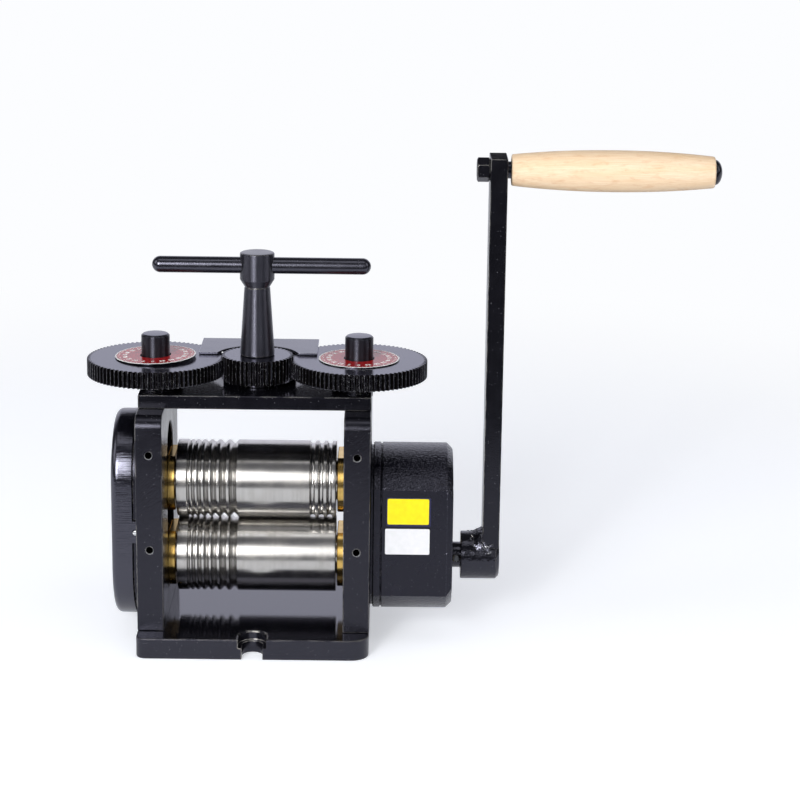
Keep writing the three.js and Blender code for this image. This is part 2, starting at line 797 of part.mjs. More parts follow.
function addGearboxPlate() {
  const stepX = plateOuterX + gearboxStep;
  const blank = join(
    prism('x', drumOutline(gearboxStep), plateOuterX, stepX + jointChamfer / 2),
    prism('x', drumOutline(), stepX, gearboxSplitX, jointChamfer),
  );
  const tools = [
    rod('x', journalRadius + airGap, plateOuterX - reach, gearboxSplitX + reach, [0, lowerAxisZ]),
    rod('x', layPinRadius + runningGap, stepX, gearboxSplitX + reach, [0, layAxisZ]),
    ...boxScrewHoles(plateOuterX - reach, gearboxSplitX + reach),
  ];
  add(gearbox, 'gearbox_plate', 'paint', cut(blank, ...tools));
}

function addGearboxCover() {
  const middleX = (gearboxSplitX + gearboxEndX) / 2;
  const bossX = inputGearEndX + 2 * airGap;
  const bushRoom = shaftRadius + inputBushWall;
  const shell = join(
    prism('x', drumOutline(), middleX - drumChamfer, gearboxEndX, drumChamfer),
    prism('x', drumOutline(), gearboxSplitX, middleX + drumChamfer, jointChamfer),
  );
  const hollow = prism('x', drumOutline(drumWall), gearboxSplitX - reach, gearboxFloorX);
  const bosses = [
    rod('x', bushRoom + bossWall, bossX, gearboxFloorX + reach, [0, lowerAxisZ]),
    rod('x', layPinRadius + bossWall, bossX, gearboxFloorX + reach, [0, layAxisZ]),
    ...boxScrewHoles(gearboxSplitX, gearboxFloorX + reach, boxScrew.shank + bossWall),
  ];
  const tools = [
    rod('x', bushRoom + staticGap, bossX - reach, gearboxEndX + reach, [0, lowerAxisZ]),
    rod('x', layPinRadius + runningGap, bossX - reach, gearboxFloorX - faceGap, [0, layAxisZ]),
    ...boxScrewHoles(gearboxSplitX - reach, gearboxEndX + reach),
    ...boxScrewHoles(gearboxFloorX, gearboxEndX + reach, boxScrew.head + staticGap),
  ];
  add(gearbox, 'gearbox_cover', 'paint', cut(join(cut(shell, hollow), ...bosses), ...tools));
}

function addGearboxScrews() {
  boxScrewPlaces().forEach((place, i) => {
    const headX = gearboxFloorX + faceGap;
    const shank = rod('x', boxScrew.shank, screwX - plateThick / 8, headX + reach, place, smallSides);
    const head = rod('x', boxScrew.head, headX, gearboxEndX - runningGap, place, smallSides);
    const socket = prism('x', circle(boxScrew.head / 2, 6, place), gearboxEndX - boxScrew.shank, gearboxEndX);
    add(gearbox, `gearbox_screw_${i + 1}`, 'blackSteel', cut(join(shank, head), socket));
  });
}

// the crank shaft turns the layshaft at half its speed, and that turns the lower roll at half again
function addGearTrain() {
  const lower = [0, lowerAxisZ];
  const lay = [0, layAxisZ];
  const gap = 180 / largeTeeth;
  const outputOutline = gearOutline(stageModule, largeTeeth, 90 + gap, lower);
  const output = prism('x', outputOutline, outputGearX, outputGearEndX);
  const bore = singleD(outputSeatRadius + staticGap, outputSeatFlat + staticGap, lower);
  const boreTool = prism('x', bore, outputGearX - reach, outputGearEndX + reach);
  add(gearbox, 'output_gear', 'steel', cut(output, boreTool));

  const smallGear = gearOutline(stageModule, smallTeeth, 270, lay);
  add(gearbox, 'layshaft', 'steel', join(
    rod('x', layPinRadius, plateOuterX + gearboxStep + airGap, gearboxFloorX - airGap, lay),
    rod('x', layBodyRadius, outputGearX - airGap, inputGearEndX + airGap, lay),
    prism('x', smallGear, outputGearX - airGap / 2, outputGearEndX + airGap / 2),
    prism('x', gearOutline(stageModule, largeTeeth, 270 + gap, lay), inputGearX, inputGearEndX),
  ));

  const shaft = join(
    rod('x', pilotRadius, outputGearEndX - pilotLength + airGap, inputGearX, lower),
    rod('x', shaftRadius, outputGearEndX + 2 * airGap, hubEndX - airGap, lower),
    prism('x', gearOutline(stageModule, smallTeeth, 90, lower), inputGearX, inputGearEndX),
  );
  const pinPlace = [-shaftPinX, lowerAxisZ];
  const pinHole = rod('y', shaftPinRadius + faceGap, -shaftRadius - reach, shaftRadius + reach, pinPlace,
    smallSides);
  add(crank, 'crank_shaft', 'blackSteel', cut(shaft, pinHole));
  add(crank, 'shaft_pin', 'zinc', rod('y', shaftPinRadius, -shaftRadius, shaftRadius, pinPlace, smallSides));
}

function addInputBush() {
  const centre = [0, lowerAxisZ];
  const startX = inputGearEndX + 2 * airGap + staticGap;
  const body = rod('x', shaftRadius + inputBushWall, startX, gearboxEndX - 2 * runningGap, centre);
  const bore = rod('x', shaftRadius + runningGap, startX - reach, gearboxEndX + reach, centre);
  add(gearbox, 'input_bush', 'bronze', cut(body, bore));
}

// Crank

function addHub() {
  const bore = shaftRadius + staticGap;
  const hub = turned('x', [
    [bore, hubStartX],
    [hubRadius - armEdge, hubStartX],
    [hubRadius, hubStartX + armEdge],
    [hubRadius, hubEndX - hubChamfer],
    [hubRadius - hubChamfer, hubEndX],
    [bore, hubEndX],
    [bore, hubStartX],
  ], [0, lowerAxisZ]);
  const place = [hubScrewX, 0];
  const screwHole = rod('z', hubScrewRadius + staticGap, lowerAxisZ - hubRadius - reach,
    lowerAxisZ - bore + reach, place, smallSides);
  add(crank, 'crank_hub', 'paint', cut(hub, screwHole));

  const mouthZ = lowerAxisZ - hubRadius + airGap;
  const screw = rod('z', hubScrewRadius, mouthZ, lowerAxisZ - shaftRadius - 2 * faceGap, place, smallSides);
  const socket = prism('z', circle(hubScrewRadius / 2, 6, place), mouthZ - reach, mouthZ + hubScrewRadius);
  add(crank, 'hub_set_screw', 'blackSteel', cut(screw, socket));
}

function addArm() {
  const outline = rectangle(-armHalfWidth, armHalfWidth, lowerAxisZ, gripAxisZ + armTip);
  const saddle = rod('x', hubRadius + airGap / 2, armInnerX - reach, armOuterX + reach, [0, lowerAxisZ]);
  const below = box([armInnerX - reach, -2 * armHalfWidth, lowerAxisZ - reach],
    [armOuterX + reach, 2 * armHalfWidth, lowerAxisZ + hubRadius / 4]);
  const boltHole = rod('x', gripScrewRadius + staticGap, armInnerX - reach, armOuterX + reach, [0, gripAxisZ]);
  const blank = prism('x', outline, armInnerX, armOuterX, armEdge);
  add(crank, 'crank_arm', 'paint', cut(blank, saddle, below, boltHole));
}

// the weld runs round the foot of the arm, on three sides
function addWeld() {
  const centre = [0, lowerAxisZ];
  const startX = armInnerX - weldBead;
  const halfWidth = armHalfWidth + weldBead;
  const band = rod('x', hubRadius + weldBead + staticGap, startX, armOuterX, centre);
  const collar = prism('z', rectangle(startX, armOuterX - faceGap, -halfWidth, halfWidth),
    lowerAxisZ + hubRadius / 2.6, lowerAxisZ + hubRadius + weldBead, weldBead / 3);
  const armRoom = box([armInnerX - faceGap, -armHalfWidth - faceGap, lowerAxisZ],
    [armOuterX + reach, armHalfWidth + faceGap, lowerAxisZ + 2 * hubRadius]);
  const hubRoom = rod('x', hubRadius + 2 * runningGap, startX - reach, hubEndX + reach, centre);
  add(crank, 'crank_weld', 'blackSteel', cut(band.intersect(collar), armRoom, hubRoom));
}

// radius of the wooden grip along its length, 0 at the arm and 1 at the free end
function gripRadius(t) {
  return gripEndRadius + (gripMidRadius - gripEndRadius) * Math.sin(Math.PI * t ** 0.92) ** 0.8;
}

function addGrip() {
  const bore = gripBoltRadius + runningGap;
  const steps = 9;
  const profile = [[bore, gripStartX], [gripEndRadius - armEdge, gripStartX]];
  for (let i = 0; i <= steps; i += 1) {
    const along = armEdge + ((gripLength - 2 * armEdge) * i) / steps;
    profile.push([gripRadius(i / steps), gripStartX + along]);
  }
  profile.push([gripEndRadius - armEdge, gripEndX], [bore, gripEndX], [bore, gripStartX]);
  add(crank, 'grip', 'wood', turned('x', profile, [0, gripAxisZ]));
}

function addGripBolt() {
  const centre = [0, gripAxisZ];
  const startX = armInnerX - nutThick + faceGap;
  const capX = gripEndX + 2 * runningGap;
  const dome = arc(1, 0, 90, 4).map(([out, along]) => [gripCapRadius * out, capX + gripCapThick * along]);
  add(crank, 'grip_bolt', 'blackSteel', turned('x', [
    [0, startX],
    [gripScrewRadius - armEdge, startX],
    [gripScrewRadius, startX + armEdge],
    [gripScrewRadius, armOuterX + faceGap],
    [gripBoltRadius, armOuterX + faceGap],
    [gripBoltRadius, capX],
    ...dome,
  ], centre));

  const nutRadius = nutAcrossFlats / 2 / Math.cos(Math.PI / 6);
  const nut = prism('x', circle(nutRadius, 6, centre), armInnerX - nutThick, armInnerX, 0.4);
  const bore = rod('x', gripScrewRadius + staticGap, armInnerX - nutThick - reach, armInnerX + reach, centre);
  add(crank, 'grip_nut', 'blackSteel', cut(nut, bore));
}

// Tee handle

function spindleBore(from, to) {
  return prism('z', singleD(spindleRadius + staticGap, spindleFlat + staticGap), from, to);
}

function addTee() {
  const hub = turned('z', [
    [0, teeFootZ],
    [teeFootRadius - armEdge, teeFootZ],
    [teeFootRadius, teeFootZ + armEdge],
    [teeNeckRadius, teeFootZ + teeNeckRise],
    [teeHeadRadius, teeFootZ + teeHeadRise],
    [teeHeadRadius, teeTopZ - armEdge],
    [teeHeadRadius - armEdge, teeTopZ],
    [0, teeTopZ],
  ]);
  const crossHole = rod('x', teeBarRadius + staticGap, -2 * teeHeadRadius, 2 * teeHeadRadius, [0, teeBarZ]);
  const socket = spindleBore(teeFootZ - reach, teeFootZ + spindleGrip + airGap);
  add(adjuster, 'tee_hub', 'paint', cut(hub, crossHole, socket));

  const dome = (end, outward) =>
    arc(teeBarRadius, 90, 0, 3).map(([along, radius]) => [radius, end + outward * (along - teeBarRadius)]);
  const profile = [...dome(-teeBarLeft, -1).reverse(), ...dome(teeBarRight, 1)];
  add(adjuster, 'tee_bar', 'paint', turned('x', profile, [0, teeBarZ], 16));
}

function addTeePinion() {
  const pinion = join(
    prism('z', gearOutline(dialModule, pinionTeeth, 0), pinionFootZ, pinionTopZ),
    rod('z', pinionHub, bridgeTopZ + faceGap, pinionFootZ + reach),
  );
  add(adjuster, 'tee_pinion', 'blackSteel', cut(pinion, spindleBore(bridgeTopZ - reach, pinionTopZ + reach)));
}

function addSpindle() {
  const footZ = plateTopZ + spindleWellDepth - 2 * faceGap;
  const tapRadius = spindleRadius / 2;
  const spindle = join(
    rod('z', spindleRadius, footZ, bridgeTopZ),
    prism('z', singleD(spindleRadius, spindleFlat), bridgeTopZ - reach, teeFootZ + spindleGrip),
  );
  const tap = rod('z', tapRadius + staticGap, footZ - reach, footZ + 2 * spindleRadius + reach, [0, 0],
    smallSides);
  add(adjuster, 'tee_spindle', 'blackSteel', cut(spindle, tap));

  const screw = join(
    rod('z', spindleWellRadius - airGap / 2, plateTopZ + 2 * runningGap, footZ - faceGap),
    rod('z', tapRadius, plateTopZ + reach, footZ + 2 * spindleRadius, [0, 0], smallSides),
  );
  const socket = prism('z', circle(0.8 * tapRadius, 6), plateTopZ, plateTopZ + 0.6 * spindleWellDepth);
  add(adjuster, 'spindle_screw', 'blackSteel', cut(screw, socket));
}

// Dial gears, dials and adjusting screws

function addDialGear(name, centre, side) {
  const towardsPinion = side === sides.right ? 180 : 0;
  const phase = towardsPinion + 180 / dialTeeth;
  const gear = join(
    prism('z', gearOutline(dialModule, dialTeeth, phase, centre), gearFootZ, gearTopZ),
    rod('z', dialGearHub, bridgeTopZ + faceGap, gearFootZ + reach, centre),
  );
  const bore = singleD(stemRadius + staticGap, stemFlat + staticGap, centre);
  const boreTool = prism('z', bore, bridgeTopZ - reach, gearTopZ + reach);
  add(adjuster, `${name}_dial_gear`, 'blackSteel', cut(gear, boreTool));

  const dialBore = stemRadius + airGap;
  add(adjuster, `${name}_dial`, 'dial', turned('z', [
    [dialBore, gearTopZ],
    [dialRadius, gearTopZ],
    [dialRadius, gearTopZ + dialThick],
    [dialBore, gearTopZ + dialThick],
    [dialBore, gearTopZ],
  ], centre, 32));
}

function addAdjustingScrew(name, centre) {
  const shoulderZ = plateTopZ + reach;
  const topZ = bridgeTopZ + stemRise;
  const stem = turned('z', [
    [0, shoulderZ],
    [stemRadius, shoulderZ],
    [stemRadius, topZ - stemChamfer],
    [stemRadius - stemChamfer, topZ - 2 * faceGap],
    [0, topZ],
  ], centre);
  const flatTopZ = gearTopZ + dialThick + reach;
  const flat = box([centre[0] - 2 * stemRadius, stemFlat, shoulderZ - reach],
    [centre[0] + 2 * stemRadius, 2 * stemRadius, flatTopZ]);
  const thread = rod('z', threadRadius, upperAxisZ + bushFlat + faceGap, shoulderZ + reach, centre);
  add(adjuster, `${name}_adjusting_screw`, 'blackSteel', join(cut(stem, flat), thread));
}

// Index plate

function addIndexPlate() {
  const footZ = gearTopZ + airGap / 2;
  const notchRadius = pinionTipRadius + indexNotchGap;
  const notchEdge = (Math.asin(indexFrontY / notchRadius) * 180) / Math.PI;
  const outline = [
    [-indexHalfWidth, indexFrontY],
    ...arc(notchRadius, 180 - notchEdge, notchEdge, 12),
    [indexHalfWidth, indexFrontY],
    [indexHalfWidth, indexBackY],
    [-indexHalfWidth, indexBackY],
  ];
  add(frame, 'index_plate', 'paint', prism('z', outline, footZ, footZ + indexThick));
  const low = [-indexBlockHalfWidth, indexBlockY[0], bridgeTopZ];
  const high = [indexBlockHalfWidth, indexBlockY[1], footZ];
  add(frame, 'index_block', 'paint', cut(box(low, high), ...screwHoles('index')));
}

addBase();
for (const [name, side] of Object.entries(sides)) {
  const centre = [side * screwX, 0];
  addSidePlate(`${name}_side_plate`, side);
  addBush(`${name}_lower_bush`, side, lowerAxisZ, 1);
  addBush(`${name}_upper_bush`, side, upperAxisZ, -1);
  addSpring(`${name}_lift_spring`, side);
  addDialGear(name, centre, side);
  addAdjustingScrew(name, centre);
}
addBridge();
addScrews();
addRolls();
addRollGears();
addCoverPlate();
addCover();
addCoverScrews();
addGearboxPlate();
addGearboxCover();
addGearboxScrews();
addGearTrain();
addInputBush();
addHub();
addArm();
addWeld();
addGrip();
addGripBolt();
addTee();
addTeePinion();
addSpindle();
addIndexPlate();

export default mill;
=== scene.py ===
import math
import random

import bmesh
import bpy
from mathutils import Matrix, Vector


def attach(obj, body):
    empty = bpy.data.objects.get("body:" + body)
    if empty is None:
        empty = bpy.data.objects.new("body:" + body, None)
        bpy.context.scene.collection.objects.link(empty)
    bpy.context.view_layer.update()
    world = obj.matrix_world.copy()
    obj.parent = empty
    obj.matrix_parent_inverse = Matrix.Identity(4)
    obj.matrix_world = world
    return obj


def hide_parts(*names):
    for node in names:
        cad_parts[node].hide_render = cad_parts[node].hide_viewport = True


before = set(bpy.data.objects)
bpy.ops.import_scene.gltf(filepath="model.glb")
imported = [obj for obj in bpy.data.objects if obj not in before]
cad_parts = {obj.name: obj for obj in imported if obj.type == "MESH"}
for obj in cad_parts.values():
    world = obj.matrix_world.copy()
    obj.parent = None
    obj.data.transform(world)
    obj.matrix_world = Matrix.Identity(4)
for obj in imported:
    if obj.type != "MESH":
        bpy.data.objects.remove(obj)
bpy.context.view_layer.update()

# Jewellers' rolling mill, dressed for the camera. Sizes are in millimetres: x is the mill's right, y points
# away from the operator and z is up, from the underside of the base.
mm = 0.001
lowerAxisZ = 36.15
upperAxisZ = 73.6
layshaftZ = 64.275
screwX = 48.375
plateInnerX = 42.125
plateOuterX = 54.625
plateTopZ = 114.2
bridgeTopZ = 120.7
gearTopZ = 133.2
gripAxisZ = 224.8


# Nodes

def linear(code):  # an sRGB hex colour as linear light
    channels = [int(code[i:i + 2], 16) / 255 for i in (1, 3, 5)]
    return [c / 12.92 if c <= 0.04045 else ((c + 0.055) / 1.055) ** 2.4 for c in channels] + [1.0]


def addNode(tree, kind, sockets=(), **settings):
    # sockets are given in order or by key, as plain values, hex colours, other nodes or outputs of them
    node = tree.nodes.new("ShaderNode" + kind)
    for name, value in settings.items():
        setattr(node, name, value)
    for key, value in sockets.items() if isinstance(sockets, dict) else enumerate(sockets):
        if isinstance(value, bpy.types.Node):  # a node stands for its first output in use
            value = next(output for output in value.outputs if output.enabled)
        if isinstance(value, bpy.types.NodeSocket):
            tree.links.new(value, node.inputs[key])
        else:
            node.inputs[key].default_value = linear(value) if isinstance(value, str) else value
    return node


def startMaterial(name):
    material = bpy.data.materials.new(name)
    material.use_nodes = True
    tree = material.node_tree
    tree.nodes.clear()
    return material, tree, addNode(tree, "TexCoord").outputs["Object"]


def density(size):  # scale of a pattern whose marks are so many millimetres apart
    return 1 / (size * mm)


def stretched(tree, coords, *sizes):  # coordinates for marks of different size along x, y and z
    return addNode(tree, "VectorMath", (coords, [density(size) for size in sizes]), operation="MULTIPLY")


def layered(tree, colour, *layers):  # lays one colour after another over the first, each through its mask
    for mask, over in layers:  # inputs 6 and 7 of the node are its two colours
        colour = addNode(tree, "Mix", {0: mask, 6: colour, 7: over}, data_type="RGBA")
    return colour


def edgeMask(tree, width, flat, sharp, strength=1.0):  # finds edges by how far the rounded normal turns there
    normal = addNode(tree, "NewGeometry").outputs["Normal"]
    rounded = addNode(tree, "Bevel", {"Radius": width * mm}, samples=4)
    facing = addNode(tree, "VectorMath", (rounded, normal), operation="DOT_PRODUCT")
    return normal, rounded, addNode(tree, "MapRange", (facing, flat, sharp, 0.0, strength))


# Materials

def paintedSteel(name, look):
    # black finish on milled steel: orange peel in the gloss, brush lines, dust specks, edges rubbed to metal
    material, tree, coords = startMaterial(name)
    peel, tooth, cloud = (
        addNode(tree, "TexNoise", {"Vector": coords, "Scale": density(look[size]), "Detail": detail})
        for size, detail in (("peelSize", 1.5), ("toothSize", 3.0), ("cloudSize", 4.0)))
    slanted = addNode(tree, "VectorRotate", {"Vector": coords, "Angle": math.radians(look["brushAngle"])},
                      rotation_type="Y_AXIS")
    brushCoords = stretched(tree, slanted, look["brushLength"], look["brushWidth"], look["brushWidth"])
    brush = addNode(tree, "TexNoise", {"Vector": brushCoords, "Scale": 1.0, "Detail": 2.0})
    fine = addNode(tree, "Math", (tooth, look["toothDepth"] / look["peelDepth"], peel),
                   operation="MULTIPLY_ADD")
    height = addNode(tree, "Math", (brush, look["brushDepth"] / look["peelDepth"], fine),
                     operation="MULTIPLY_ADD")
    normal, rounded, edge = edgeMask(tree, look["wearWidth"], 0.985, 0.90)
    bump = addNode(tree, "Bump", {"Height": height, "Distance": look["peelDepth"] * mm, "Strength": 1.0,
                                  "Normal": rounded})
    start = 0.62 - 0.3 * look["wear"]  # more wear lets the rubbed patches run further along the edges
    patch = addNode(tree, "MapRange", (cloud, start, start + 0.1))
    worn = addNode(tree, "Math", (edge, patch), operation="MULTIPLY")
    cells = addNode(tree, "TexVoronoi", {"Vector": coords, "Scale": density(look["speckSpacing"])})
    share = look["speckSize"] / look["speckSpacing"]
    speck = addNode(tree, "MapRange", (cells, share, 0.4 * share))
    pick = addNode(tree, "SeparateColor", (cells.outputs["Color"],))
    some = addNode(tree, "Math", (pick, 1 - look["speckShare"]), operation="GREATER_THAN")
    specks = addNode(tree, "Math", (speck, some), operation="MULTIPLY")
    colour = layered(tree, look["colour"], (cloud, look["haze"]), (worn, look["wornColour"]),
                     (specks, look["speckColour"]))
    rough = look["roughness"]
    roughness = addNode(tree, "MapRange", (cloud, 0.3, 0.7, rough * 0.8, rough * 1.25))
    level = addNode(tree, "SeparateXYZ", (normal,)).outputs["Z"]
    upward = addNode(tree, "MapRange", (level, 0.9, 0.98, 1.0, look["topRoughness"] / rough))
    wiped = addNode(tree, "Math", (roughness, upward), operation="MULTIPLY")
    dulled = addNode(tree, "Math", (worn, 0.1, wiped), operation="MULTIPLY_ADD")
    around = addNode(tree, "Tangent", direction_type="RADIAL", axis="Z")
    shader = addNode(tree, "BsdfPrincipled", {
        "Base Color": colour, "Roughness": dulled, "Normal": bump, "Metallic": worn, "IOR": look["ior"],
        "Specular Tint": look["glossTint"], "Anisotropic": look["latheLines"], "Anisotropic Rotation": 0.25,
        "Tangent": around})
    addNode(tree, "OutputMaterial", {"Surface": shader})
    return material


def turnedMetal(name, look):
    # metal turned or ground on its axis: fine lines run round it and pull the highlights out along it
    material, tree, coords = startMaterial(name)
    lines, bands = (
        addNode(tree, "TexNoise", {
            "Vector": stretched(tree, coords, *(width if axis == look["axis"] else length for axis in "xyz")),
            "Scale": 1.0, "Detail": detail})
        for width, length, detail in ((look["lineWidth"], look["lineLength"], 3.0),
                                      (look["lineWidth"] * 9, look["lineLength"] * 2, 2.0)))
    stain = addNode(tree, "TexNoise", {"Vector": coords, "Scale": density(look["stainSize"]), "Detail": 5.0})
    height = addNode(tree, "Math", (bands, 0.5, lines), operation="MULTIPLY_ADD")
    bump = addNode(tree, "Bump", {"Height": height, "Distance": look["lineDepth"] * mm, "Strength": 1.0})
    mark = addNode(tree, "MapRange", (stain, 0.45, 0.72, 0.0, look["stainStrength"]))
    streak = addNode(tree, "MapRange", (bands, 0.35, 0.7, 0.0, 0.5))
    # painted highlight: the edges get a paler, more reflective colour so that they read as lit
    edge = edgeMask(tree, look["edgeWidth"], 0.98, 0.88, look["edgeHighlightShare"])[-1]
    colour = layered(tree, look["colour"], (streak, look["lineColour"]), (mark, look["stainColour"]),
                     (edge, look["edgeHighlightColour"]))
    rough = look["roughness"]
    roughness = addNode(tree, "MapRange", (stain, 0.3, 0.75, rough * 0.85, rough * 1.4))
    shader = addNode(tree, "BsdfPrincipled", {
        "Base Color": colour, "Roughness": roughness, "Normal": bump, "Metallic": look["metallic"]})
    addNode(tree, "OutputMaterial", {"Surface": shader})
    return material


def turnedWood(name, look):
    # pale hardwood, turned and sanded: long fibres along x, warm flames, faint pores and a satin lacquer
    material, tree, coords = startMaterial(name)

    def grain(part):  # coordinates drawn out along x
        return stretched(tree, coords, look[part + "Length"], look[part + "Width"], look[part + "Width"])
    fibres = addNode(tree, "TexNoise", {"Vector": grain("fibre"), "Scale": 1.0, "Detail": 4.0,
                                        "Roughness": 0.6})
    rings = addNode(tree, "TexNoise", {"Vector": grain("ring"), "Scale": 1.0, "Detail": 2.0,
                                       "Distortion": 0.6})
    flames = addNode(tree, "TexNoise", {"Vector": grain("flame"), "Scale": 1.0, "Detail": 3.0,
                                        "Roughness": 0.65, "Distortion": 0.4})
    cells = addNode(tree, "TexVoronoi", {"Vector": grain("pore"), "Scale": 1.0})
    pores = addNode(tree, "MapRange", (cells, 0.16, 0.05))
    colour = layered(
        tree, look["lightColour"],
        (addNode(tree, "MapRange", (rings, 0.35, 0.68)), look["warmColour"]),
        (addNode(tree, "MapRange", (fibres, 0.35, 0.7, 0.0, look["fibreStrength"])), look["fibreColour"]),
        (addNode(tree, "MapRange", (flames, 0.54, 0.7, 0.0, look["flameStrength"])), look["flameColour"]),
        (addNode(tree, "Math", (pores, look["poreStrength"]), operation="MULTIPLY"), look["poreColour"]))
    height = addNode(tree, "Math", (pores, -0.6, fibres), operation="MULTIPLY_ADD")
    bump = addNode(tree, "Bump", {"Height": height, "Distance": look["fibreDepth"] * mm, "Strength": 1.0})
    rough = look["roughness"]
    roughness = addNode(tree, "MapRange", (fibres, 0.3, 0.7, rough * 0.9, rough * 1.15))
    shader = addNode(tree, "BsdfPrincipled", {"Base Color": colour, "Roughness": roughness, "Normal": bump})
    addNode(tree, "OutputMaterial", {"Surface": shader})
    return material


def printedSheet(name, look):
    # print or film on a sheet: even colour with a slight mottle, and a smooth face that catches the light
    material, tree, coords = startMaterial(name)
    mottle, ripple = (
        addNode(tree, "TexNoise", {"Vector": coords, "Scale": density(look[size]), "Detail": detail})
        for size, detail in (("mottleSize", 3.0), ("rippleSize", 1.0)))
    tone = addNode(tree, "MapRange", (mottle, 0.3, 0.7))
    bump = addNode(tree, "Bump", {"Height": ripple, "Distance": look["rippleDepth"] * mm, "Strength": 1.0})
    rough = look["roughness"]
    roughness = addNode(tree, "MapRange", (mottle, 0.0, 1.0, rough * 0.8, rough * 1.2))
    shader = addNode(tree, "BsdfPrincipled", {
        "Base Color": layered(tree, look["colour"], (tone, look["mottleColour"])), "Roughness": roughness,
        "Normal": bump})
    addNode(tree, "OutputMaterial", {"Surface": shader})
    return material


enamel = dict(  # satin black of the side plates: soft gloss, fine brush marks, edges rubbed bright
    colour="#09090d", haze="#101015", wornColour="#b9b6b0", speckColour="#74757b", glossTint="#e8e8ff",
    roughness=0.22, topRoughness=0.08, ior=1.52, peelSize=2.2, peelDepth=0.01, toothSize=0.45,
    toothDepth=0.035, brushAngle=38.0, brushLength=2.5, brushWidth=0.4, brushDepth=0.05, cloudSize=9.0,
    wearWidth=0.6, wear=0.62, speckSpacing=1.2, speckSize=0.19, speckShare=0.3, latheLines=0.0)
bridgeEnamel = dict(  # the bridge came from bright bar, so the black lies smoother on it
    enamel, roughness=0.17, ior=1.42, toothDepth=0.012, brushDepth=0.012)
baseEnamel = dict(  # the base front: a little brighter along its rubbed edges
    enamel, ior=1.6, topRoughness=0.07, peelSize=1.3, peelDepth=0.012, toothDepth=0.003, brushAngle=0.0,
    brushLength=5.0, brushWidth=0.5, brushDepth=0.012, wear=0.7, wornColour="#d2cec6", cloudSize=6.0)
baseTop = dict(baseEnamel, ior=1.95)  # its top, wiped to a mirror with fine waves
lacquer = dict(  # the left cover: deep and glossy, it mirrors the softbox as a crisp band
    enamel, colour="#060609", haze="#0a0a0f", roughness=0.13, topRoughness=0.13, ior=1.9, peelSize=6.0,
    peelDepth=0.03, toothDepth=0.001, brushAngle=0.0, brushLength=9.0, brushDepth=0.075, wear=0.3,
    speckShare=0.08)
castEnamel = dict(  # the gearbox: the same black over a coarser surface, so its highlights break up
    enamel, colour="#07070c", haze="#0c0c14", roughness=0.18, topRoughness=0.18, ior=1.66, peelSize=0.9,
    peelDepth=0.4, toothSize=0.4, toothDepth=0.03, brushDepth=0.0, speckSpacing=1.1, speckSize=0.15,
    wear=-0.3, wearWidth=0.3)
milledEnamel = dict(  # the milled flats of the gearbox: the same paint on a smoother ground
    castEnamel, roughness=0.24, ior=1.47, peelDepth=0.015, toothSize=0.35, toothDepth=0.02)
armPaint = dict(  # the crank arm: a thin coat with small specks
    enamel, colour="#08080b", haze="#0e0e12", roughness=0.2, topRoughness=0.6, ior=1.45, peelSize=1.2,
    peelDepth=0.02, toothDepth=0.015, brushDepth=0.01, wear=0.6)
sawnEnd = dict(  # the sawn top of the arm: matt, nearly no gloss
    armPaint, roughness=0.8, topRoughness=0.8, ior=1.15, wear=0.4)
hubPaint = dict(  # the crank hub: thick glossy paint over tool marks
    armPaint, roughness=0.12, topRoughness=0.12, ior=1.6, peelSize=1.8, peelDepth=0.22, toothDepth=0.03,
    speckShare=0.35)
boltPaint = dict(  # nut and cap of the grip: painted, clean and glossy
    armPaint, roughness=0.13, topRoughness=0.2, ior=1.6, wear=0.4)
weldBlack = dict(  # the weld bead: painted over, rough, with bright ridges
    armPaint, roughness=0.12, topRoughness=0.12, ior=1.9, peelSize=0.8, peelDepth=0.2, wear=0.75,
    wearWidth=0.35, wornColour="#f0f0f2", cloudSize=1.6)
toolBlack = dict(  # tee bar and small screws: glossy oiled black with drawn lines and fine specks
    enamel, colour="#07070a", haze="#0c0c10", roughness=0.2, topRoughness=0.2, ior=1.85, peelSize=1.3,
    peelDepth=0.02, toothDepth=0.01, brushAngle=0.0, brushLength=8.0, brushDepth=0.03, wear=0.6,
    wearWidth=0.3, speckSize=0.17, speckShare=0.28)
turnedBlack = dict(  # tee hub: the same black over lathe lines, which draw the lamps into upright streaks
    toolBlack, roughness=0.36, topRoughness=0.12, brushDepth=0.02, latheLines=0.9)
stemBlack = dict(turnedBlack, ior=1.6, speckShare=0.4)  # screw stems: the same lines under a thinner gloss
stemTop = dict(  # the faced tops of the stems, bright with the backdrop
    turnedBlack, roughness=0.14, topRoughness=0.14, ior=2.5, latheLines=0.0, wear=0.0)
holeShadeLook = dict(  # painted shade inside the tapped holes: near black and without gloss, where no light comes back
    enamel, colour="#020202", haze="#030303", roughness=0.9, topRoughness=0.9, ior=1.05, wear=0.0,
    speckShare=0.0)
gearBlack = dict(  # the teeth of the gears and pinion: black in the gaps, rubbed and shiny on their tips
    enamel, colour="#060505", haze="#0a0908", roughness=0.17, topRoughness=0.17, ior=1.6, peelSize=1.6,
    toothDepth=0.004, brushDepth=0.001, wear=0.36, wearWidth=0.12, wornColour="#c9c9cb", cloudSize=1.5,
    speckShare=0.1)
gearTop = dict(  # the turned faces of the same pieces, which mirror the backdrop
    gearBlack, colour="#0a0a10", haze="#12121a", roughness=0.16, topRoughness=0.16, ior=2.6, wear=0.2)
indexBlack = dict(  # the thin index plate: bluish grey sheet with bright sheared edges
    enamel, colour="#2a2b33", haze="#34353f", roughness=0.16, topRoughness=0.16, ior=2.3, toothDepth=0.006,
    brushDepth=0.006, wear=1.3, wearWidth=0.3, wornColour="#c8c9cc")
groundSteel = dict(  # hardened rolls, ground round: bright grey that spreads each lamp into a long band, with a painted highlight in near white along the edges
    colour="#c6c4c1", lineColour="#b3b1ae", stainColour="#a39c90", edgeHighlightColour="#f2f1ef", axis="x",
    lineWidth=0.12, lineLength=25.0, lineDepth=0.0012, stainSize=9.0, stainStrength=0.25, roughness=0.19,
    metallic=1.0, edgeWidth=0.15, edgeHighlightShare=0.3)
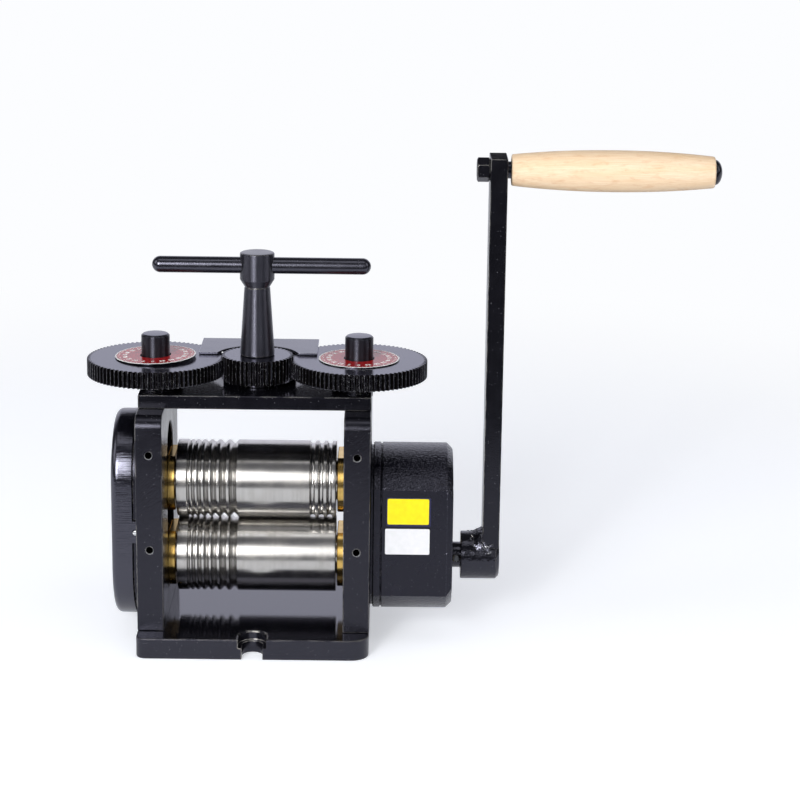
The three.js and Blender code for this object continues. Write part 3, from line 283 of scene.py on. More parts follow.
brass = dict(  # turned bushes: warm yellow with brown stains and coarser lines, and a painted highlight in pale brass along the edges
    groundSteel, colour="#dcb96c", lineColour="#c9a455", stainColour="#8f6a33", edgeHighlightColour="#f6e2ab",
    lineWidth=0.2, roughness=0.16, stainStrength=0.35, stainSize=5.0)
brightZinc = dict(  # plated springs and screws: cool and a little duller than ground steel, with the same painted edge highlight
    groundSteel, colour="#c9cbcd", lineColour="#b4b7ba", axis="y", roughness=0.24)
holeRing = dict(  # the drilled mouths of the tapped holes: a thin grey ring
    brightZinc, colour="#8a8b8d", lineColour="#7c7d80", roughness=0.35, edgeHighlightShare=0.0)
pinSteel = dict(  # the shaft pin: dark end face, and a painted highlight ring in near white along its edge
    brightZinc, colour="#66686c", lineColour="#76787c", edgeHighlightColour="#f4f6f8", roughness=0.45, edgeWidth=0.6,
    edgeHighlightShare=1.0)
paleBeech = dict(  # turned beech under thin lacquer: creamy, with warmer flames and short dark pores
    lightColour="#f6dfc2", warmColour="#f0d3ae", fibreColour="#e4bf93", poreColour="#b5824f",
    fibreLength=11.0, fibreWidth=0.5, fibreStrength=0.6, fibreDepth=0.02, ringLength=60.0, ringWidth=3.2,
    poreLength=1.4, poreWidth=0.45, poreStrength=0.5, flameLength=7.0, flameWidth=2.2, flameStrength=0.5,
    flameColour="#dfb183", roughness=0.62)
redPrint = dict(  # printed dial: deep red with a gloss that picks up the backdrop
    colour="#b02022", mottleColour="#9f1a1d", mottleSize=3.0, rippleSize=2.0, rippleDepth=0.004,
    roughness=0.16)
whitePrint = dict(  # its rim, marks and figures
    redPrint, colour="#f4f3f0", mottleColour="#ebeae6", roughness=0.3)
yellowFilm = dict(  # vinyl labels: flat bright colour and a soft sheen
    redPrint, colour="#fae900", mottleColour="#f5df00", roughness=0.32, rippleSize=6.0)
blueFilm = dict(redPrint, colour="#15184a", mottleColour="#121440", roughness=0.32)
whiteFilm = dict(redPrint, colour="#ebebee", mottleColour="#e3e4e6", roughness=0.34, rippleSize=6.0)

materialTable = (
    (paintedSteel, dict(
        blackEnamel=enamel, bridgeEnamel=bridgeEnamel, baseEnamel=baseEnamel, baseTopEnamel=baseTop,
        blackLacquer=lacquer, gearboxEnamel=castEnamel, gearboxFlatEnamel=milledEnamel, crankPaint=armPaint,
        sawnEnd=sawnEnd, crankHubPaint=hubPaint, boltPaint=boltPaint, paintedWeld=weldBlack,
        oiledBlackSteel=toolBlack, turnedBlackSteel=turnedBlack, blackStemSteel=stemBlack,
        facedBlackSteel=stemTop, paintedHoleShade=holeShadeLook, blackGearTeeth=gearBlack, blackGearFace=gearTop,
        blackSheetSteel=indexBlack)),
    (turnedMetal, dict(groundRollSteel=groundSteel, turnedBrass=brass, brightZinc=brightZinc,
                       drilledSteel=holeRing, pinSteel=pinSteel)),
    (turnedWood, dict(paleBeech=paleBeech)),
    (printedSheet, dict(redDialPrint=redPrint, whiteDialPrint=whitePrint, yellowFilm=yellowFilm,
                        blueFilm=blueFilm, whiteFilm=whiteFilm)),
)
finishes = {name: make(name, look) for make, looks in materialTable for name, look in looks.items()}
print("materials made:", len(finishes))


# Shapes

def spot(axis, u, v, along):  # a point given across and along an axis
    return {"x": (along, u, v), "y": (u, along, v), "z": (u, v, along)}[axis]


def arc(radius, fromDegrees, toDegrees, steps, centre=(0, 0)):
    angles = [math.radians(fromDegrees + (toDegrees - fromDegrees) * i / steps) for i in range(steps + 1)]
    return [(centre[0] + radius * math.cos(a), centre[1] + radius * math.sin(a)) for a in angles]


def loft(rings, closed=False):  # skins rings of equally many points; closed joins the last ring to the first
    form = bmesh.new()
    rows = [[form.verts.new([c * mm for c in point]) for point in ring] for ring in rings]
    for low, high in zip(rows, rows[1:] + rows[:1] if closed else rows[1:]):
        for i in range(len(low)):
            j = (i + 1) % len(low)
            form.faces.new((low[i], low[j], high[j], high[i]))
    if not closed:
        form.faces.new(rows[0][::-1])
        form.faces.new(rows[-1])
    bmesh.ops.remove_doubles(form, verts=form.verts, dist=1e-7)
    bmesh.ops.recalc_face_normals(form, faces=form.faces)
    return form


def prism(axis, outline, start, end):
    return loft([[spot(axis, u, v, along) for u, v in outline] for along in (start, end)])


def block(axis, u0, u1, v0, v1, start, end):
    return prism(axis, [(u0, v0), (u1, v0), (u1, v1), (u0, v1)], start, end)


def turned(axis, profile, centre=(0, 0), segments=48, hollow=False):
    # profile holds (radius, along) pairs; a solid one is closed to the axis at both ends
    if not hollow:
        ends = [[(0, along)] if radius > 1e-9 else [] for radius, along in (profile[0], profile[-1])]
        profile = ends[0] + profile + ends[1]
    circles = [arc(radius, 0, 360 - 360 / segments, segments - 1, centre) for radius, _ in profile]
    rings = [[spot(axis, u, v, along) for u, v in circle] for circle, (_, along) in zip(circles, profile)]
    return loft(rings, closed=hollow)


def rod(axis, radius, start, end, centre=(0, 0), segments=48):
    return turned(axis, [(radius, start), (radius, end)], centre, segments)


def merged(forms):  # several forms in one mesh
    mesh = bpy.data.meshes.new("merged")
    whole = bmesh.new()
    for form in forms:
        form.to_mesh(mesh)
        whole.from_mesh(mesh)
        form.free()
    bpy.data.meshes.remove(mesh)
    return whole


def addObject(name, data):
    added = bpy.data.objects.new(name, data)
    bpy.context.scene.collection.objects.link(added)
    return added


def toObject(form, name):
    mesh = bpy.data.meshes.new(name)
    form.to_mesh(mesh)
    form.free()
    return addObject(name, mesh)


def toForm(piece):  # the way back: the object is gone
    form = bmesh.new()
    form.from_mesh(piece.data)
    bpy.data.objects.remove(piece)
    return form


def shownMesh(piece):  # the mesh with what the modifiers do to it
    graph = bpy.context.evaluated_depsgraph_get()
    return bpy.data.meshes.new_from_object(piece.evaluated_get(graph))


def settle(piece):  # makes what the modifiers do part of the mesh
    mesh = shownMesh(piece)
    old = piece.data
    piece.modifiers.clear()
    piece.data = mesh
    bpy.data.meshes.remove(old)


def soften(piece, width, angle=35, segments=3):
    bevel = piece.modifiers.new("edges", "BEVEL")
    bevel.width = width * mm
    bevel.segments = segments
    bevel.limit_method = "ANGLE"
    bevel.angle_limit = math.radians(angle)
    settle(piece)


def boolean(piece, forms, operation="DIFFERENCE"):
    for form in forms:
        tool = toObject(form, "tool")
        modifier = piece.modifiers.new("boolean", "BOOLEAN")
        modifier.operation = operation
        modifier.solver = "EXACT"
        modifier.object = tool
        settle(piece)
        bpy.data.objects.remove(tool)


def dress(piece, names, pick=None):  # pick says, for each face, the number of its finish
    piece.data.materials.clear()
    for name in names:
        piece.data.materials.append(finishes[name])
    for face in piece.data.polygons:
        face.material_index = int(pick(face)) if pick else 0


def isTop(face):
    return face.normal.z > 0.9


def addPiece(name, form, finish, body, node=None, angle=34, edge=(), cuts=(), pick=None):
    # form can be an object too, and one that is dressed already has no finish
    piece = form if isinstance(form, bpy.types.Object) else toObject(form, name)
    if edge:
        soften(piece, *edge)
    boolean(piece, cuts)
    if finish:
        dress(piece, [finish] if isinstance(finish, str) else finish, pick)
    mesh = piece.data
    mesh.polygons.foreach_set("use_smooth", [True] * len(mesh.polygons))
    mesh.set_sharp_from_angle(angle=math.radians(angle))
    weighted = piece.modifiers.new("normals", "WEIGHTED_NORMAL")
    weighted.keep_sharp = True
    settle(piece)
    piece.data.name = piece.name
    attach(piece, body)
    if node:
        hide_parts(node)


# Base plate

baseLook = dict(halfX=54.625, halfY=52.0, thick=10.0, corner=8.5, tightCorner=4.8, edge=0.6, slotY=46.0,
                slotRadius=4.9, seatRadius=6.7, seatZ=5.7)


def roundedRectangle(halfU, halfV, radii, steps=12):  # radii: one for all, or right back and on to the left
    radii = radii if isinstance(radii, list) else [radii] * 4
    points = []
    for i, (u, v) in enumerate([(1, 1), (-1, 1), (-1, -1), (1, -1)]):
        points += arc(radii[i], 90 * i, 90 * i + 90, steps, (u * (halfU - radii[i]), v * (halfV - radii[i])))
    return points


def slotTool(front):
    def outline(radius):
        end = arc(radius, 0, 180, 24) if front < 0 else arc(radius, 180, 360, 24)
        reach = front * (baseLook["halfY"] - baseLook["slotY"] + 3)
        ring = end + [(end[-1][0], reach), (end[0][0], reach)]
        return [(u, v + front * baseLook["slotY"]) for u, v in ring]
    slot, seat, seatZ, top = (baseLook[key] for key in ("slotRadius", "seatRadius", "seatZ", "thick"))
    levels = [(-1, slot), (seatZ, slot), (seatZ, seat), (top - 0.5, seat), (top + 1, seat + 1.5)]
    return loft([[(u, v, z) for u, v in outline(radius)] for z, radius in levels])


baseCorners = [baseLook["corner"], baseLook["corner"], baseLook["tightCorner"], baseLook["corner"]]
baseOutline = roundedRectangle(baseLook["halfX"], baseLook["halfY"], baseCorners)
addPiece("basePlate", prism("z", baseOutline, 0, baseLook["thick"]), ("baseEnamel", "baseTopEnamel"), "frame",
         "base_plate", edge=(baseLook["edge"],), cuts=[slotTool(-1), slotTool(1)], pick=isTop)

# Side plates

plateLook = dict(halfDepth=41.0, footZ=10.0, corner=5.9, edge=0.45, windowHalf=15.7, sillZ=22.75, archZ=85.6,
                 windowFlare=0.45, holeZ=(49.7, 95.8), holeRadius=1.6, holeMouth=1.95, holeDepth=12.0,
                 threadPitch=0.7, threadDepth=0.25, stemHole=5.1)


def windowTool(low, high):
    def outline(extra):
        half = plateLook["windowHalf"] + extra
        sill = plateLook["sillZ"] - extra
        return [(-half, sill), (half, sill)] + arc(half, 0, 180, 48, (0, plateLook["archZ"]))
    flare = plateLook["windowFlare"]
    levels = [(low - 1, flare + 1), (low + flare, 0), (high - flare, 0), (high + 1, flare + 1)]
    return loft([[(x, u, v) for u, v in outline(extra)] for x, extra in levels])


def holeTool(x, front, z):  # a drilled hole with a countersunk mouth and thread ridges
    radius, wide, pitch = plateLook["holeRadius"], plateLook["holeMouth"], plateLook["threadPitch"]
    mouthY = front * plateLook["halfDepth"]
    profile = [(wide + 1, mouthY + front), (radius, mouthY - front * (wide - radius))]
    depth = 1.0
    while depth < plateLook["holeDepth"] - 1:
        profile.append((radius + plateLook["threadDepth"], mouthY - front * (depth + pitch / 2)))
        profile.append((radius, mouthY - front * (depth + pitch)))
        depth += pitch
    profile.append((0, mouthY - front * plateLook["holeDepth"]))
    return turned("y", profile, (x, z), 32)


for name, side in (("left", -1), ("right", 1)):
    halfDepth, corner = plateLook["halfDepth"], plateLook["corner"]
    outline = [(-halfDepth, plateLook["footZ"]), (halfDepth, plateLook["footZ"])]
    outline += arc(corner, 0, 90, 16, (halfDepth - corner, plateTopZ - corner))
    outline += arc(corner, 90, 180, 16, (-(halfDepth - corner), plateTopZ - corner))
    low, high = sorted((side * plateInnerX, side * plateOuterX))

    def holePart(face):  # 0 for the plate, 1 for the mouth of a tapped hole, 2 for its inside, which is painted shade
        middle = face.center / mm
        away = min(math.hypot(middle.x - side * screwX, middle.z - z) for z in plateLook["holeZ"])
        if away >= plateLook["holeMouth"] or abs(middle.y) <= 28:
            return 0
        return 1 if 40.55 < abs(middle.y) < 41.2 else 2
    tools = [windowTool(low, high)]
    tools += [holeTool(side * screwX, front, z) for front in (-1, 1) for z in plateLook["holeZ"]]
    tools.append(rod("z", plateLook["stemHole"], 84, 116, (side * screwX, 0)))
    # the insides of the tapped holes get painted shade
    addPiece(name + "SidePlate", prism("x", outline, low, high),
             ("blackEnamel", "drilledSteel", "paintedHoleShade"), "frame", name + "_side_plate",
             edge=(plateLook["edge"],), cuts=tools, pick=holePart)

# Bridge and its screws

bridgeLook = dict(halfX=54.625, halfY=25.0, edge=0.4, screwY=19.0, indexX=11, indexY=21.371)
screwLook = dict(shank=2.5, head=4.6, depth=2.6, length=16.0, socket=1.73)
bridgeHoles = (  # profile, places and segments of each kind of hole
    ([(6.99, 113), (6.99, 120.5), (7.8, 121.4)], [(-screwX, 0), (screwX, 0)], 64),
    ([(6.6, 113), (6.6, 116.7), (5.1, 116.7), (5.1, 122)], [(0, 0)], 64),
    ([(2.62, 113), (2.62, 117.9), (4.84, 120.6), (5.0, 121.5)],
     [(x, y) for x in (-screwX, screwX) for y in (-bridgeLook["screwY"], bridgeLook["screwY"])], 48),
    ([(4.04, 113.2), (4.04, 114.3), (2.12, 116.4), (2.12, 122)],
     [(side * bridgeLook["indexX"], bridgeLook["indexY"]) for side in (-1, 1)], 32),
)
halfX, halfY = bridgeLook["halfX"], bridgeLook["halfY"]
bridgeTools = [turned("z", profile, place, steps) for profile, places, steps in bridgeHoles
               for place in places]
addPiece("topBridge", block("z", -halfX, halfX, -halfY, halfY, plateTopZ, bridgeTopZ), "bridgeEnamel",
         "frame", "top_bridge", edge=(bridgeLook["edge"],), cuts=bridgeTools)

for i, (x, y) in enumerate(((-1, -1), (1, -1), (1, 1), (-1, 1))):
    place = (x * screwX, y * bridgeLook["screwY"])
    top = bridgeTopZ - 0.1
    shank, head, foot = screwLook["shank"], screwLook["head"], top - screwLook["length"]
    profile = [(shank - 0.4, foot), (shank, foot + 0.4), (shank, top - screwLook["depth"]),
               (head - 0.1, top - 0.15), (head - 0.2, top)]
    socket = prism("z", arc(screwLook["socket"], 0, 300, 5, place), top - 2.0, top + 1)
    addPiece("bridgeScrew%d" % (i + 1), turned("z", profile, place), "oiledBlackSteel", "frame",
             "bridge_screw_%d" % (i + 1), cuts=[socket])
print("frame made")

# Bushes

bushLook = dict(radius=15.6, flangeRadius=16.8, flat=13.4, bore=10.1, startX=38.675, flangeEndX=42.075,
                endX=54.425, edge=0.35, socket=5.2)


def bushForm(side, axisZ):
    radius, wide, flat, bore = (bushLook[key] for key in ("radius", "flangeRadius", "flat", "bore"))
    start, step, end, edge = (bushLook[key] for key in ("startX", "flangeEndX", "endX", "edge"))
    angles = {round(2 * math.pi * i / 120, 6) for i in range(120)}
    for corner in (math.asin(flat / radius), math.asin(flat / wide)):
        angles |= {round(a, 6) for a in (corner, math.pi - corner, math.pi + corner, 2 * math.pi - corner)}

    def ring(x, reach, height=1e9):
        radii = [(a, min(reach, height / max(abs(math.sin(a)), 1e-9))) for a in sorted(angles)]
        return [(side * x, r * math.cos(a), axisZ + r * math.sin(a)) for a, r in radii]
    return loft([ring(start, bore + edge), ring(start, wide - edge, flat - edge),
                 ring(start + edge, wide, flat), ring(step - edge / 2, wide, flat),
                 ring(step, wide - edge / 2, flat - edge / 2), ring(step, radius, flat),
                 ring(end, radius, flat), ring(end, bore), ring(start + edge, bore)], closed=True)


for name, side in (("left", -1), ("right", 1)):
    for level, axisZ, inward, body in (("lower", lowerAxisZ, 1, "frame"),
                                       ("upper", upperAxisZ, -1, "upper_bearing")):
        face = axisZ + inward * bushLook["flat"]
        addPiece(name + level.capitalize() + "Bush", bushForm(side, axisZ), "turnedBrass", body,
                 "%s_%s_bush" % (name, level), angle=30,
                 cuts=[rod("z", bushLook["socket"], face - 1.5, face + 1.5, (side * screwX, 0))])
print("bushes made")

# Rolls

rollLook = dict(
    half=38.0, radius=18.5, edge=0.3, lip=0.16,
    veeGrooves=((-32.3, 1.52), (-29.9, 1.8), (-27.0, 2.1), (-23.7, 2.51), (-20.1, 2.89), (-15.8, 3.4),
                (-11.0, 3.8)),  # middle and width
    roundGrooves=(26.8, 30.9, 34.9), roundRadius=1.3)


def rollProfile(withRoundGrooves, rightEnd):
    half, radius, edge, lip = (rollLook[key] for key in ("half", "radius", "edge", "lip"))
    profile = [(8.0, -64.575), (8.5, -64.1), (8.5, -57.725), (10, -57.725), (10, -half),
               (radius - edge, -half), (radius - 0.3 * edge, -half + 0.3 * edge), (radius, -half + edge)]
    for middle, width in rollLook["veeGrooves"]:
        reach = width / 2
        profile += [(radius, middle - reach - lip), (radius - 0.3 * lip, middle - reach),
                    (radius - reach + 0.08, middle - 0.06), (radius - reach + 0.08, middle + 0.06),
                    (radius - 0.3 * lip, middle + reach), (radius, middle + reach + lip)]
    for middle in rollLook["roundGrooves"] if withRoundGrooves else ():
        reach = rollLook["roundRadius"]
        profile.append((radius, middle - reach - lip))
        profile += [(radius - 0.3 * lip - (reach - 0.05) * math.sin(a), middle - reach * math.cos(a))
                    for a in [math.pi * i / 10 for i in range(11)]]
        profile.append((radius, middle + reach + lip))
    profile += [(radius, half - edge), (radius - 0.3 * edge, half - 0.3 * edge), (radius - edge, half),
                (10, half)]
    return profile + rightEnd


lowerEnd = [(10, 61.825), (8, 61.825), (8, 70.8), (7.6, 71.225), (4.5, 71.225), (4.1, 70.8), (4.1, 64.225)]
upperEnd = [(10, 53.9), (9.6, 54.325)]
for level, axisZ, hasRound, end in (("lower", lowerAxisZ, False, lowerEnd),
                                    ("upper", upperAxisZ, True, upperEnd)):
    flats = [block("x", -10, 10, axisZ + 7.3, axisZ + 12, -66, -57.725)]
    if level == "lower":
        flats.append(block("x", -10, 10, axisZ + 6.8, axisZ + 12, 61.825, 73))
    addPiece(level + "Roll", turned("x", rollProfile(hasRound, end), (0, axisZ), 160), "groundRollSteel",
             level + "_roll", level + "_roll", angle=24, cuts=flats)
print("rolls made")

# Left gear cover, its plate and screws

coverLook = dict(radius=29.9, lowZ=36.15, highZ=77.1, rimX=57.425, faceX=67.675, edge=3.4, wall=2.8,
                 lugZ=54.875, lugHalf=5.5, screwX=-56.025)
rimX, faceX, edge, wall = (coverLook[key] for key in ("rimX", "faceX", "edge", "wall"))
lugPlace = (coverLook["screwX"], coverLook["lugZ"])


def obround(radius, lowZ, highZ, steps=48):
    rise = highZ - lowZ
    shares = [i / 8 for i in range(1, 8)]
    return (arc(radius, 0, 180, steps, (0, highZ)) + [(-radius, highZ - rise * share) for share in shares]
            + arc(radius, 180, 360, steps, (0, lowZ)) + [(radius, lowZ + rise * share) for share in shares])


def coverForm(levels):  # levels holds (x, inset) pairs
    return loft([[(-x, u, v) for u, v in obround(coverLook["radius"] - inset, coverLook["lowZ"],
                                                 coverLook["highZ"])] for x, inset in levels])


levels = [(faceX - wall + 0.25, wall + 2.0), (faceX - wall - 0.35, wall + 0.9),
          (faceX - wall - 1.4, wall + 0.1), (rimX, wall), (rimX, 0.35), (rimX + 0.1, 0.1),
          (rimX + 0.35, 0.0), (rimX + 3.0, 0.05), (faceX - edge - 0.4, 0.1)]
for a in [math.pi / 2 * i / 10 for i in range(1, 11)]:
    levels.append((faceX - edge + edge * math.sin(a), 0.1 + edge * (1 - math.cos(a))))
cover = toObject(coverForm(levels + [(faceX, 8.0)]), "leftGearCover")
for front in (-1, 1):
    lugOutline = [(front * y, coverLook["lugZ"] + z)
                  for y, z in roundedRectangle(1.38, coverLook["lugHalf"], 0.6, 4)]
    lug = toObject(prism("x", lugOutline, -58.6, -54.725), "lug")
    lug.data.transform(Matrix.Translation((0, front * (29.88 - 1.4) * mm, 0)))
    soften(lug, 0.25)
    boolean(cover, [toForm(lug)], "UNION")
    hole = [(1.45, front * 26), (1.45, front * 29.95), (1.9, front * 31)]
    boolean(cover, [turned("y", hole, lugPlace, 32)])
addPiece("leftGearCover", cover, "blackLacquer", "frame", "left_cover", angle=32)

notches = [block("x", front * 26.8, front * 31, 49.07, 60.68, -54, -58) for front in (-1, 1)]
notches.append(prism("x", obround(11.2, lowerAxisZ, 78.6), -54, -58))
notches += [rod("y", 1.12, front * 18, front * 28, lugPlace, 24) for front in (-1, 1)]
coverPlateLevels = [(plateOuterX, 1.6), (plateOuterX + 0.2, 1.4), (rimX - 0.2, 1.4), (rimX, 1.6)]
addPiece("leftCoverPlate", coverForm(coverPlateLevels), "blackEnamel", "frame", "left_cover_plate",
         cuts=notches)

for name, front in (("Front", -1), ("Back", 1)):
    profile = [(0.8, 20.1), (1.0, 20.3), (1.0, 29.97), (1.3, 29.97), (1.3, 30.5), (1.15, 30.8), (0.8, 30.9)]
    slot = block("y", -57.5, -54.5, 54.68, 55.07, front * 30.55, front * 31.5)
    addPiece("coverScrew" + name, turned("y", [(r, front * y) for r, y in profile], lugPlace, 40),
             "brightZinc", "frame", "cover_screw_" + name.lower(), cuts=[slot])
print("left cover made")

# Gearbox

drumLook = dict(radius=39.975, flat=30.2125, axisZ=51.1125, splitX=59.725, endX=93.725, wall=3.8,
                floorX=89.525, screwAt=23.7125)
splitX, endX, wall = drumLook["splitX"], drumLook["endX"], drumLook["wall"]
shaftAxis, layshaftAxis = (0, lowerAxisZ), (0, layshaftZ)
drumScrewPlaces = [(y * drumLook["screwAt"], drumLook["axisZ"] + z * drumLook["screwAt"])
                   for y, z in ((-1, -1), (1, -1), (1, 1), (-1, 1))]


def drumRing(x, inset, flatInset=None):  # the flats were milled after the edge was turned
    radius = drumLook["radius"] - inset
    flat = drumLook["flat"] - (inset if flatInset is None else flatInset)
    start = math.degrees(math.acos(flat / radius))
    top = arc(radius, start, 180 - start, 64, (0, drumLook["axisZ"]))
    bottom = arc(radius, 180 + start, 360 - start, 64, (0, drumLook["axisZ"]))

    def flank(first, last):
        return [(first[0] + (last[0] - first[0]) * i / 12, first[1] + (last[1] - first[1]) * i / 12)
                for i in range(1, 12)]
    return [(x, u, v) for u, v in top + flank(top[-1], bottom[0]) + bottom + flank(bottom[-1], top[0])]


def isFlat(face):
    return abs(face.normal.y) > 0.98


plateLevels = [(plateOuterX, 1.5), (plateOuterX + 0.2, 1.3), (plateOuterX + 1.3, 1.3),
               (plateOuterX + 1.3, 0.35), (plateOuterX + 1.65, 0), (splitX - 0.5, 0), (splitX - 0.4, 0.2),
               (splitX - 0.35, 0.7), (splitX, 0.8)]
plateHoles = [rod("x", 10.6, 53, 61, shaftAxis, 64), rod("x", 4.1, 55.9, 61, layshaftAxis)]
plateHoles += [rod("x", 2.12, 53, 61, place, 32) for place in drumScrewPlaces]
addPiece("gearboxPlate", loft([drumRing(x, inset) for x, inset in plateLevels]),
         ("gearboxEnamel", "gearboxFlatEnamel"), "frame", "gearbox_plate", cuts=plateHoles,
         pick=isFlat)

floorX = drumLook["floorX"]
boxLevels = [(floorX, wall + 0.6), (floorX - 0.6, wall), (splitX, wall), (splitX, 0.8),
             (splitX + 0.35, 0.7), (splitX + 0.4, 0.2), (splitX + 0.5, 0), (endX - 2.95, 0),
             (endX - 2.7, 0.08), (endX - 0.45, 2.3, 0.0), (endX - 0.15, 2.6, 0.12), (endX, 2.8, 0.45)]
boxCover = toObject(loft([drumRing(*level) for level in boxLevels]), "gearboxCover")
bosses = [rod("x", 12.1, 83.9, 90.5, shaftAxis, 64), rod("x", 6.6, 83.9, 90.5, layshaftAxis)]
boolean(boxCover, bosses + [rod("x", 4.6, 59.8, 90.5, place, 40) for place in drumScrewPlaces], "UNION")
boxTools = [turned("x", [(9.62, 82), (9.62, 93.45), (10.9, 94.7)], shaftAxis, 96),
            rod("x", 4.1, 82, 89.4, layshaftAxis)]
screwHole = [(2.12, 58), (2.12, 89.525), (3.62, 89.525), (3.62, 93.45), (4.6, 94.5)]
boxTools += [turned("x", screwHole, place) for place in drumScrewPlaces]
addPiece("gearboxCover", boxCover, ("gearboxEnamel", "gearboxFlatEnamel"), "frame", "gearbox_cover",
         cuts=boxTools, pick=isFlat)

for i, place in enumerate(drumScrewPlaces):
    profile = [(1.6, 46.8), (2.0, 47.3), (2.0, 89.575), (3.3, 89.575), (3.5, 89.8), (3.5, 93.1), (3.2, 93.55),
               (2.9, 93.625)]
    socket = prism("x", arc(screwLook["socket"], 0, 300, 5, place), 91.2, 95)
    addPiece("gearboxScrew%d" % (i + 1), turned("x", profile, place), "oiledBlackSteel", "frame",
             "gearbox_screw_%d" % (i + 1), cuts=[socket])

bushProfile = [(6.6, 84.4), (9.2, 84.4), (9.5, 84.7), (9.5, 93.3), (9.3, 93.525), (6.6, 93.525), (6.3, 93.2),
               (6.3, 84.7)]
addPiece("inputBush", turned("x", bushProfile, shaftAxis, 96, hollow=True), "turnedBrass", "frame",
         "input_bush")
print("gearbox made")

# Two plain labels on the gearbox front, the upper one with a thin border

labelLook = dict(thick=0.14, corner=0.7, border=(62.3, 83.2, 59.6, 73.7), yellow=(62.75, 82.3, 60.6, 73.2),
                 white=(61.75, 82.75, 45.75, 58.4))  # each from x to x and from z to z
flatY = -drumLook["flat"]
for name, key, lift, finish in (("yellowLabelBorder", "border", 0, "blueFilm"),
                                ("yellowLabel", "yellow", 0.05, "yellowFilm"),
                                ("whiteLabel", "white", 0, "whiteFilm")):
    x0, x1, z0, z1 = labelLook[key]
    corners = roundedRectangle((x1 - x0) / 2, (z1 - z0) / 2, labelLook["corner"], 6)
    outline = [((x0 + x1) / 2 + u, (z0 + z1) / 2 + v) for u, v in corners]
    addPiece(name, prism("y", outline, flatY + 0.02, flatY - labelLook["thick"] - lift), finish, "frame")
print("labels made")


# Gears, used by the crank shaft, the pinion and the dials

def gearRing(teeth, row, phase, centre, clip=1e9):  # row holds (radius, angle from the tooth's middle)
    points = []
    for i in range(teeth):
        for radius, offset in row:
            a = phase + 2 * math.pi * i / teeth + offset
            r = min(radius, clip)
            points.append((centre[0] + r * math.cos(a), centre[1] + r * math.sin(a)))
    return points


def involuteRow(teeth, module, addendum=0.85, dedendum=1.2, play=0.05, pressure=20.0):
    pitch = module * teeth / 2
    baseRadius = pitch * math.cos(math.radians(pressure))

    def halfAngle(radius):
        a = math.acos(min(1, baseRadius / max(radius, baseRadius)))
        swept = math.tan(math.radians(pressure)) - math.radians(pressure) - (math.tan(a) - a)
        return math.pi / (2 * teeth) - play / pitch + swept
    root, tip = pitch - dedendum * module, pitch + addendum * module
    radii = [root + 0.12 * module, pitch - 0.45 * module, pitch + 0.15 * module, tip - 0.12 * module]
    rising = [(root, -halfAngle(root) - 0.1 * module / pitch)] + [(r, -halfAngle(r)) for r in radii]
    rising.append((tip, -halfAngle(tip) + 0.1 * module / pitch))
    return rising + [(r, -offset) for r, offset in reversed(rising)]


def gearForm(axis, teeth, module, phase, centre, low, high, bore, chamfer, **shape):
    row = involuteRow(teeth, module, **shape)
    tip = max(r for r, _ in row)

    def ring(along, points):
        return [spot(axis, u, v, along) for u, v in points]

    def hole(along):
        return ring(along, gearRing(teeth, [(bore, offset) for _, offset in row], phase, centre))
    toothed = [ring(along, gearRing(teeth, row, phase, centre, clip))
               for clip, along in ((tip - chamfer, low), (tip, low + chamfer), (tip, high - chamfer),
                                   (tip - chamfer, high))]
    return loft([hole(low)] + toothed + [hole(high)], closed=True)


# Crank

crankLook = dict(pinX=96.2, pinRadius=1.85, pinHole=1.95, hubRadius=11.6, hubBore=6.32, hubStart=98.225,
                 hubEnd=116.825, hubChamfer=1.6, armInner=108.625, armOuter=116.625, armHalf=10.0,
                 armTop=231.3, armEdge=0.7, saddle=11.7)
pinPlace = (crankLook["pinX"], lowerAxisZ)
shaftProfile = [(3.6, 65.3), (4.0, 65.7), (4.0, 71.825), (6.2, 71.825), (6.2, 115.4), (5.4, 116.225)]
shaft = toObject(turned("x", shaftProfile, shaftAxis, 80), "shaft")
boolean(shaft, [rod("y", crankLook["pinHole"], -8, 8, pinPlace, 40)])
inputPinion = gearForm("x", 15, 1.25, math.pi / 2, shaftAxis, 74.125, 82.625, 6.15, 0.4, play=0.08)
addPiece("crankShaft", merged([toForm(shaft), inputPinion]), "crankHubPaint", "crank", "crank_shaft")

radius = crankLook["pinRadius"]
pinProfile = [(radius - 0.45, -6.2), (radius - 0.1, -6.05), (radius, -5.7), (radius, 5.7),
              (radius - 0.1, 6.05), (radius - 0.45, 6.2)]
addPiece("shaftPin", turned("y", pinProfile, pinPlace, 40), "pinSteel", "crank", "shaft_pin",
         angle=60)

hubStart, hubEnd, hubRadius, hubBore, chamfer = (
    crankLook[key] for key in ("hubStart", "hubEnd", "hubRadius", "hubBore", "hubChamfer"))
hubProfile = [
    (hubBore + 0.3, hubStart), (hubRadius - 0.5, hubStart), (hubRadius - 0.15, hubStart + 0.15),
    (hubRadius, hubStart + 0.5), (hubRadius, hubEnd - chamfer - 0.15),
    (hubRadius - 0.12, hubEnd - chamfer + 0.1), (hubRadius - chamfer + 0.1, hubEnd - 0.12),
    (hubRadius - chamfer - 0.15, hubEnd), (hubBore + 0.3, hubEnd), (hubBore, hubEnd - 0.3),
    (hubBore, hubStart + 0.3)]
setScrewHole = turned("z", [(0, 23), (3.1, 24.2), (2.62, 25.2), (2.62, 31)], (103.425, 0), 40)
addPiece("crankHub", turned("x", hubProfile, shaftAxis, 96, hollow=True), "crankHubPaint", "crank",
         "crank_hub", cuts=[setScrewHole])

saddle, half = crankLook["saddle"], crankLook["armHalf"]
corner = math.degrees(math.asin(math.sqrt(saddle ** 2 - half ** 2) / saddle))
armOutline = [(-half, crankLook["armTop"])] + arc(saddle, 180 - corner, corner, 24, shaftAxis)
armOutline.append((half, crankLook["armTop"]))
addPiece("crankArm", prism("x", armOutline, crankLook["armInner"], crankLook["armOuter"]),
         ("crankPaint", "sawnEnd"), "crank", "crank_arm", edge=(crankLook["armEdge"], 50, 4),
         cuts=[rod("x", 3.12, 107, 118, (0, gripAxisZ))], pick=isTop)

